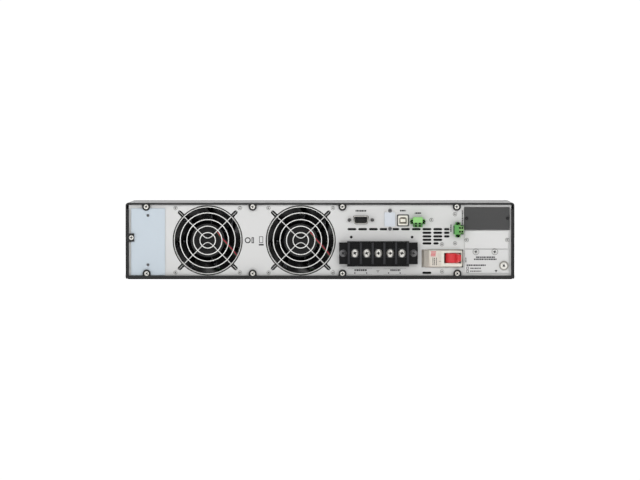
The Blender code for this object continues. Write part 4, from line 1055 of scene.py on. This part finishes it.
def make_printing():
    panel, plate = PANEL_FACE, PLATE_FACE
    bars = []
    for start, end, level, size, upright in (
        (39.5, 51.5, 76.0, 1.8, False),
        (88.8, 95.6, 76.2, 1.7, False),
        (105.3, 112.2, 73.4, 1.7, False),
        (52.8, 60.7, 145.4, 1.3, True),
        (53.5, 76.9, 158.2, 1.3, True),
        (38.0, 52.5, 10.1, 2.0, False),
        (78.0, 89.2, 10.1, 2.0, False),
    ):
        bars += print_line(start, end, level, size, panel, upright)
    bars += [bar(x - 0.6, 6.9, 1.2, 1.5, panel) for x in (38.7, 51.8, 76.2, 89.0)]
    for left, dashes in ((31.2, 18), (70.9, 17)):
        for z in (11.9, 5.4):
            bars += [bar(left + 1.5 * i, z, 0.7, 0.25, panel) for i in range(dashes)]
    bars += print_wedge(64.3, 9.6, (3.4, 2.2, 1.0), 0.4, panel)
    for start, end, level, size, upright in (
        (173.2, 194.8, 24.5, 1.6, False),
        (171.0, 196.5, 22.2, 1.6, False),
        (162.8, 184.1, 15.6, 1.6, False),
        (166.8, 178.8, 12.2, 1.2, False),
        (166.8, 179.2, 9.0, 1.2, False),
        (18.8, 24.4, 162.0, 1.1, True),
    ):
        bars += print_line(start, end, level, size, plate, upright)
    show(joined("panel_print", bars), INK)
    frames = [printed_frame((162.6, z - 1.5), (165.2, z + 1.5), 0.5, plate) for z in (12.4, 8.9)]
    ring = [circle((-80.3, 43.3), 3.3, 40), circle((-80.3, 43.3), 2.2, 40)]
    frames.append(extruded("mark_ring", ring, panel - 0.06, panel - 0.01))
    frames.append(printed_frame((-76.0, 40.0), (-73.4, 46.6), 0.9, panel))
    frames.append(printed_frame((-67.6, 40.4), (-63.2, 47.6), 0.6, panel))
    frames.append(bar(-68.0, 38.3, 5.4, 1.7, panel))
    frames += print_wedge(195.6, 9.9, (2.8, 1.9, 0.9), 0.8, plate)
    show(joined("panel_marks", frames), INK)
    face = box_mm("breaker_body")[0].y
    columns = []
    for x in (125.4, 127.2, 129.4):
        columns += print_line(15.6, 24.0, x, 0.8, face, True)
    columns += print_line(132.2, 134.2, 20.0, 0.6, face)
    show(joined("breaker_print", columns), INK)
    stripes = [bar(122.9 + 0.2 * row, 26.0 + 1.5 * row, 5.4, 0.95, face) for row in range(4)]
    show(joined("breaker_stripes", stripes), RED_INK)


# --- Front ---


def make_front():
    show_cad("front_bezel", 0.7, 3, BEZEL)
    show_cad("display_window", 0.3, 3, GLASS)
    low, high = box_mm("display_window")
    face = high.y
    near, far = (low.x + 7, face - 0.05, low.z + 6), (high.x - 21, face + 0.05, high.z - 6)
    show(box("lcd_field", near, far, 0.04), LCD)
    strokes = []
    for column in range(5):
        strokes.append((low.x + 11 + column * 5.2, low.z + 9, 3.4, 3.0 + 2.6 * column))
    for digit in range(3):
        x = high.x - 46 + digit * 7
        strokes += [(x, low.z + level, 4.2, 0.9) for level in (9, 13.6, 18.2)]
        for level in (9.8, 14.4):
            strokes += [(x - 0.7, low.z + level, 0.8, 4.0), (x + 4.1, low.z + level, 0.8, 4.0)]
    segments = [
        box("stroke", (x, face + 0.04, z), (x + width, face + 0.1, z + height), 0.02)
        for x, z, width, height in strokes
    ]
    show(joined("lcd_segments", segments), LCD_INK)
    lamps = []
    for row in range(4):
        lamp = lathe("lamp", [(0, 0.5), (0.9, 0.35), (1.3, 0), (1.3, -0.3), (0, -0.3)], 24)
        lamp.data.transform(Matrix.Rotation(math.pi, 4, "Z"))
        lamps.append(put(lamp, high.x - 10, face, high.z - 7.5 - 7 * row))
    show(joined("status_lamps", lamps), GREEN)
    for number in range(1, 5):
        name = f"front_button_{number}"
        show_cad(name, 0.25, 2, BLACK, name)
        low, high = box_mm(name)
        x, z = (low.x + high.x) / 2, (low.z + high.z) / 2
        icons = {
            1: [circle((x, z), 1.7, 32), circle((x, z), 1.3, 32)],
            2: [[(x - 1.6, z - 0.9), (x + 1.6, z - 0.9), (x, z + 1.4)]],
            3: [[(x - 1.6, z + 0.9), (x, z - 1.4), (x + 1.6, z + 0.9)]],
            4: [[(x - 1.5, z + 1.0), (x - 1.5, z - 1.0), (x + 1.5, z)]],
        }
        show(extruded(f"button_icon_{number}", icons[number], high.y - 0.02, high.y + 0.05), LCD_INK, name)
    for side, label in ((-1, "left"), (1, "right")):
        left, right = sorted((side * 68.0, side * 207.0))
        pad = box("pad", (left, BEZEL_FACE - 9.0, 8.0), (right, BEZEL_FACE - 4.4, 77.0), 0.8)
        pad.name = f"dust_filter_{label}"
        show(pad, FOAM)


# --- Inside ---


def make_inside():
    for name in ("main_board", "comm_board", "display_board"):
        show_cad(name, 0.15, 1, BOARD)
    turns = [2 * math.pi * i / 28 for i in range(29)]
    section = [(17.5 + 7.4 * math.cos(t), 12.9 * math.sin(t)) for t in turns]
    for number in (1, 2):
        show_cad(f"heatsink_{number}", 0.25, 2, ALUMINIUM)
        name = f"inductor_{number}"
        ring = lathe(f"{name}_finished", section, 72, axis="Z")
        ring.location = at(*middle_mm(name))
        show(ring, WINDING, stands_for=name)
    for number in (1, 2, 3):
        name = f"bus_capacitor_{number}"
        show_cad(name, 0.4, 2, SLEEVE)
        centre, top = middle_mm(name), box_mm(name)[1].z
        vent = lathe(f"capacitor_top_{number}", [(0, 0.05), (15.0, 0.05), (15.4, 0), (0, 0)], 48, axis="Z")
        vent.location = at(centre.x, centre.y, top)
        show(vent, ALUMINIUM)
    show_cad("output_relay", 0.5, 2, BLACK)


# --- Stage ---


def area_light(name, location, size, energy, target=(0, -0.28, 0.04)):
    """A rectangular light, aimed at the rear panel unless told otherwise."""
    lamp = bpy.data.lights.new(name, "AREA")
    lamp.shape = "RECTANGLE"
    lamp.size, lamp.size_y = size
    lamp.energy = energy
    obj = new_object(name, lamp, location)
    obj.rotation_euler = (Vector(target) - Vector(location)).to_track_quat("-Z", "Y").to_euler()


def make_stage():
    shape = bmesh.new()
    bmesh.ops.create_grid(shape, x_segments=1, y_segments=1, size=6.0)
    floor = from_shape("floor", shape, (0, 0, -0.0002))
    cover = surface("pale_floor", (246, 246, 246), 0.8, 0.0, 40, 0.02, 0.004)
    glow = {"Emission Color": (1, 1, 1, 1), "Emission Strength": 0.55, "Specular IOR Level": 0.1}
    feed(cover.node_tree, cover.node_tree.nodes["Principled BSDF"], glow)
    floor.data.materials.append(cover)
    world = bpy.data.worlds.new("studio")
    bpy.context.scene.world = world
    world.use_nodes = True
    tree = world.node_tree
    sky = tree.nodes["Background"]
    direction = node(tree, "TexCoord").outputs["Generated"]
    along = node(tree, "SeparateXYZ", {"Vector": direction}).outputs["Y"]
    greys = ((0.29, 0.3), (0.53, 0.6), (0.88, 0.72), (0.98, 1))
    stops = [(0.0, (0.095, 0.095, 0.098, 1))] + [(place, (grey, grey, grey, 1)) for place, grey in greys]
    feed(tree, sky, {"Color": ramp(tree, span(tree, along, -0.6, 1.0), stops), "Strength": 1.42})
    backdrop = node(tree, "Background", {"Color": (1, 1, 1, 1), "Strength": 1.05})
    seen = node(tree, "LightPath").outputs["Is Camera Ray"]
    mixed = node(tree, "MixShader", {0: seen, 1: sky.outputs[0], 2: backdrop.outputs[0]})
    feed(tree, tree.nodes["World Output"], {"Surface": mixed.outputs[0]})
    area_light("key", (-1.3, -2.4, 1.1), (1.3, 0.8), 14.0)
    area_light("fill", (1.5, -2.4, 0.8), (1.3, 0.8), 13.0)
    area_light("front", (0.1, -4.0, 1.9), (1.8, 0.7), 16.0)
    area_light("top", (0, -0.1, 1.8), (1.4, 1.0), 6.0, (0, 0, 0.08))


def make_camera():
    """A long lens square on to the rear panel, from just above its top edge."""
    frame_width = 0.7109
    distance = 18.0
    aside = 0.03
    height = 0.179
    lens = bpy.data.cameras.new("camera")
    lens.sensor_width = 36.0
    lens.lens = lens.sensor_width * distance / frame_width
    lens.clip_end = 60
    camera = new_object("camera", lens, (aside, REAR_EDGE - distance, height))
    camera.rotation_euler = (at(0, 0, 43.6) - camera.location).to_track_quat("-Z", "Y").to_euler()
    bpy.context.scene.camera = camera
    bpy.context.scene.view_settings.view_transform = "Standard"


make_camera()
make_case()
make_side_fasteners()
make_cover_screws()
make_panel_screws()
make_earth_screw()
for fan_number, fan_place in FAN_PLACES.items():
    for make in (make_fan_frame, make_rotor, make_guard, make_lead):
        make(fan_number, fan_place)
make_hole_rings()
make_slot_shade_sheet()
make_serial_port()
make_usb_port()
# The EPO plug's wire entry is painted shade, the detection plug's is painted light.
make_green_plug("epo", (108.65, 64.0), False, (DEEP_GREEN, GREEN, ENTRY_SHADE_GREEN))
make_green_plug("detect", (153.3, 55.0), True, (SHADE_GREEN, DEEP_GREEN, ENTRY_LIGHT_GREEN))
make_plug_side_shade()
make_terminal_block()
make_breaker()
make_printing()
make_front()
make_inside()
make_stage()
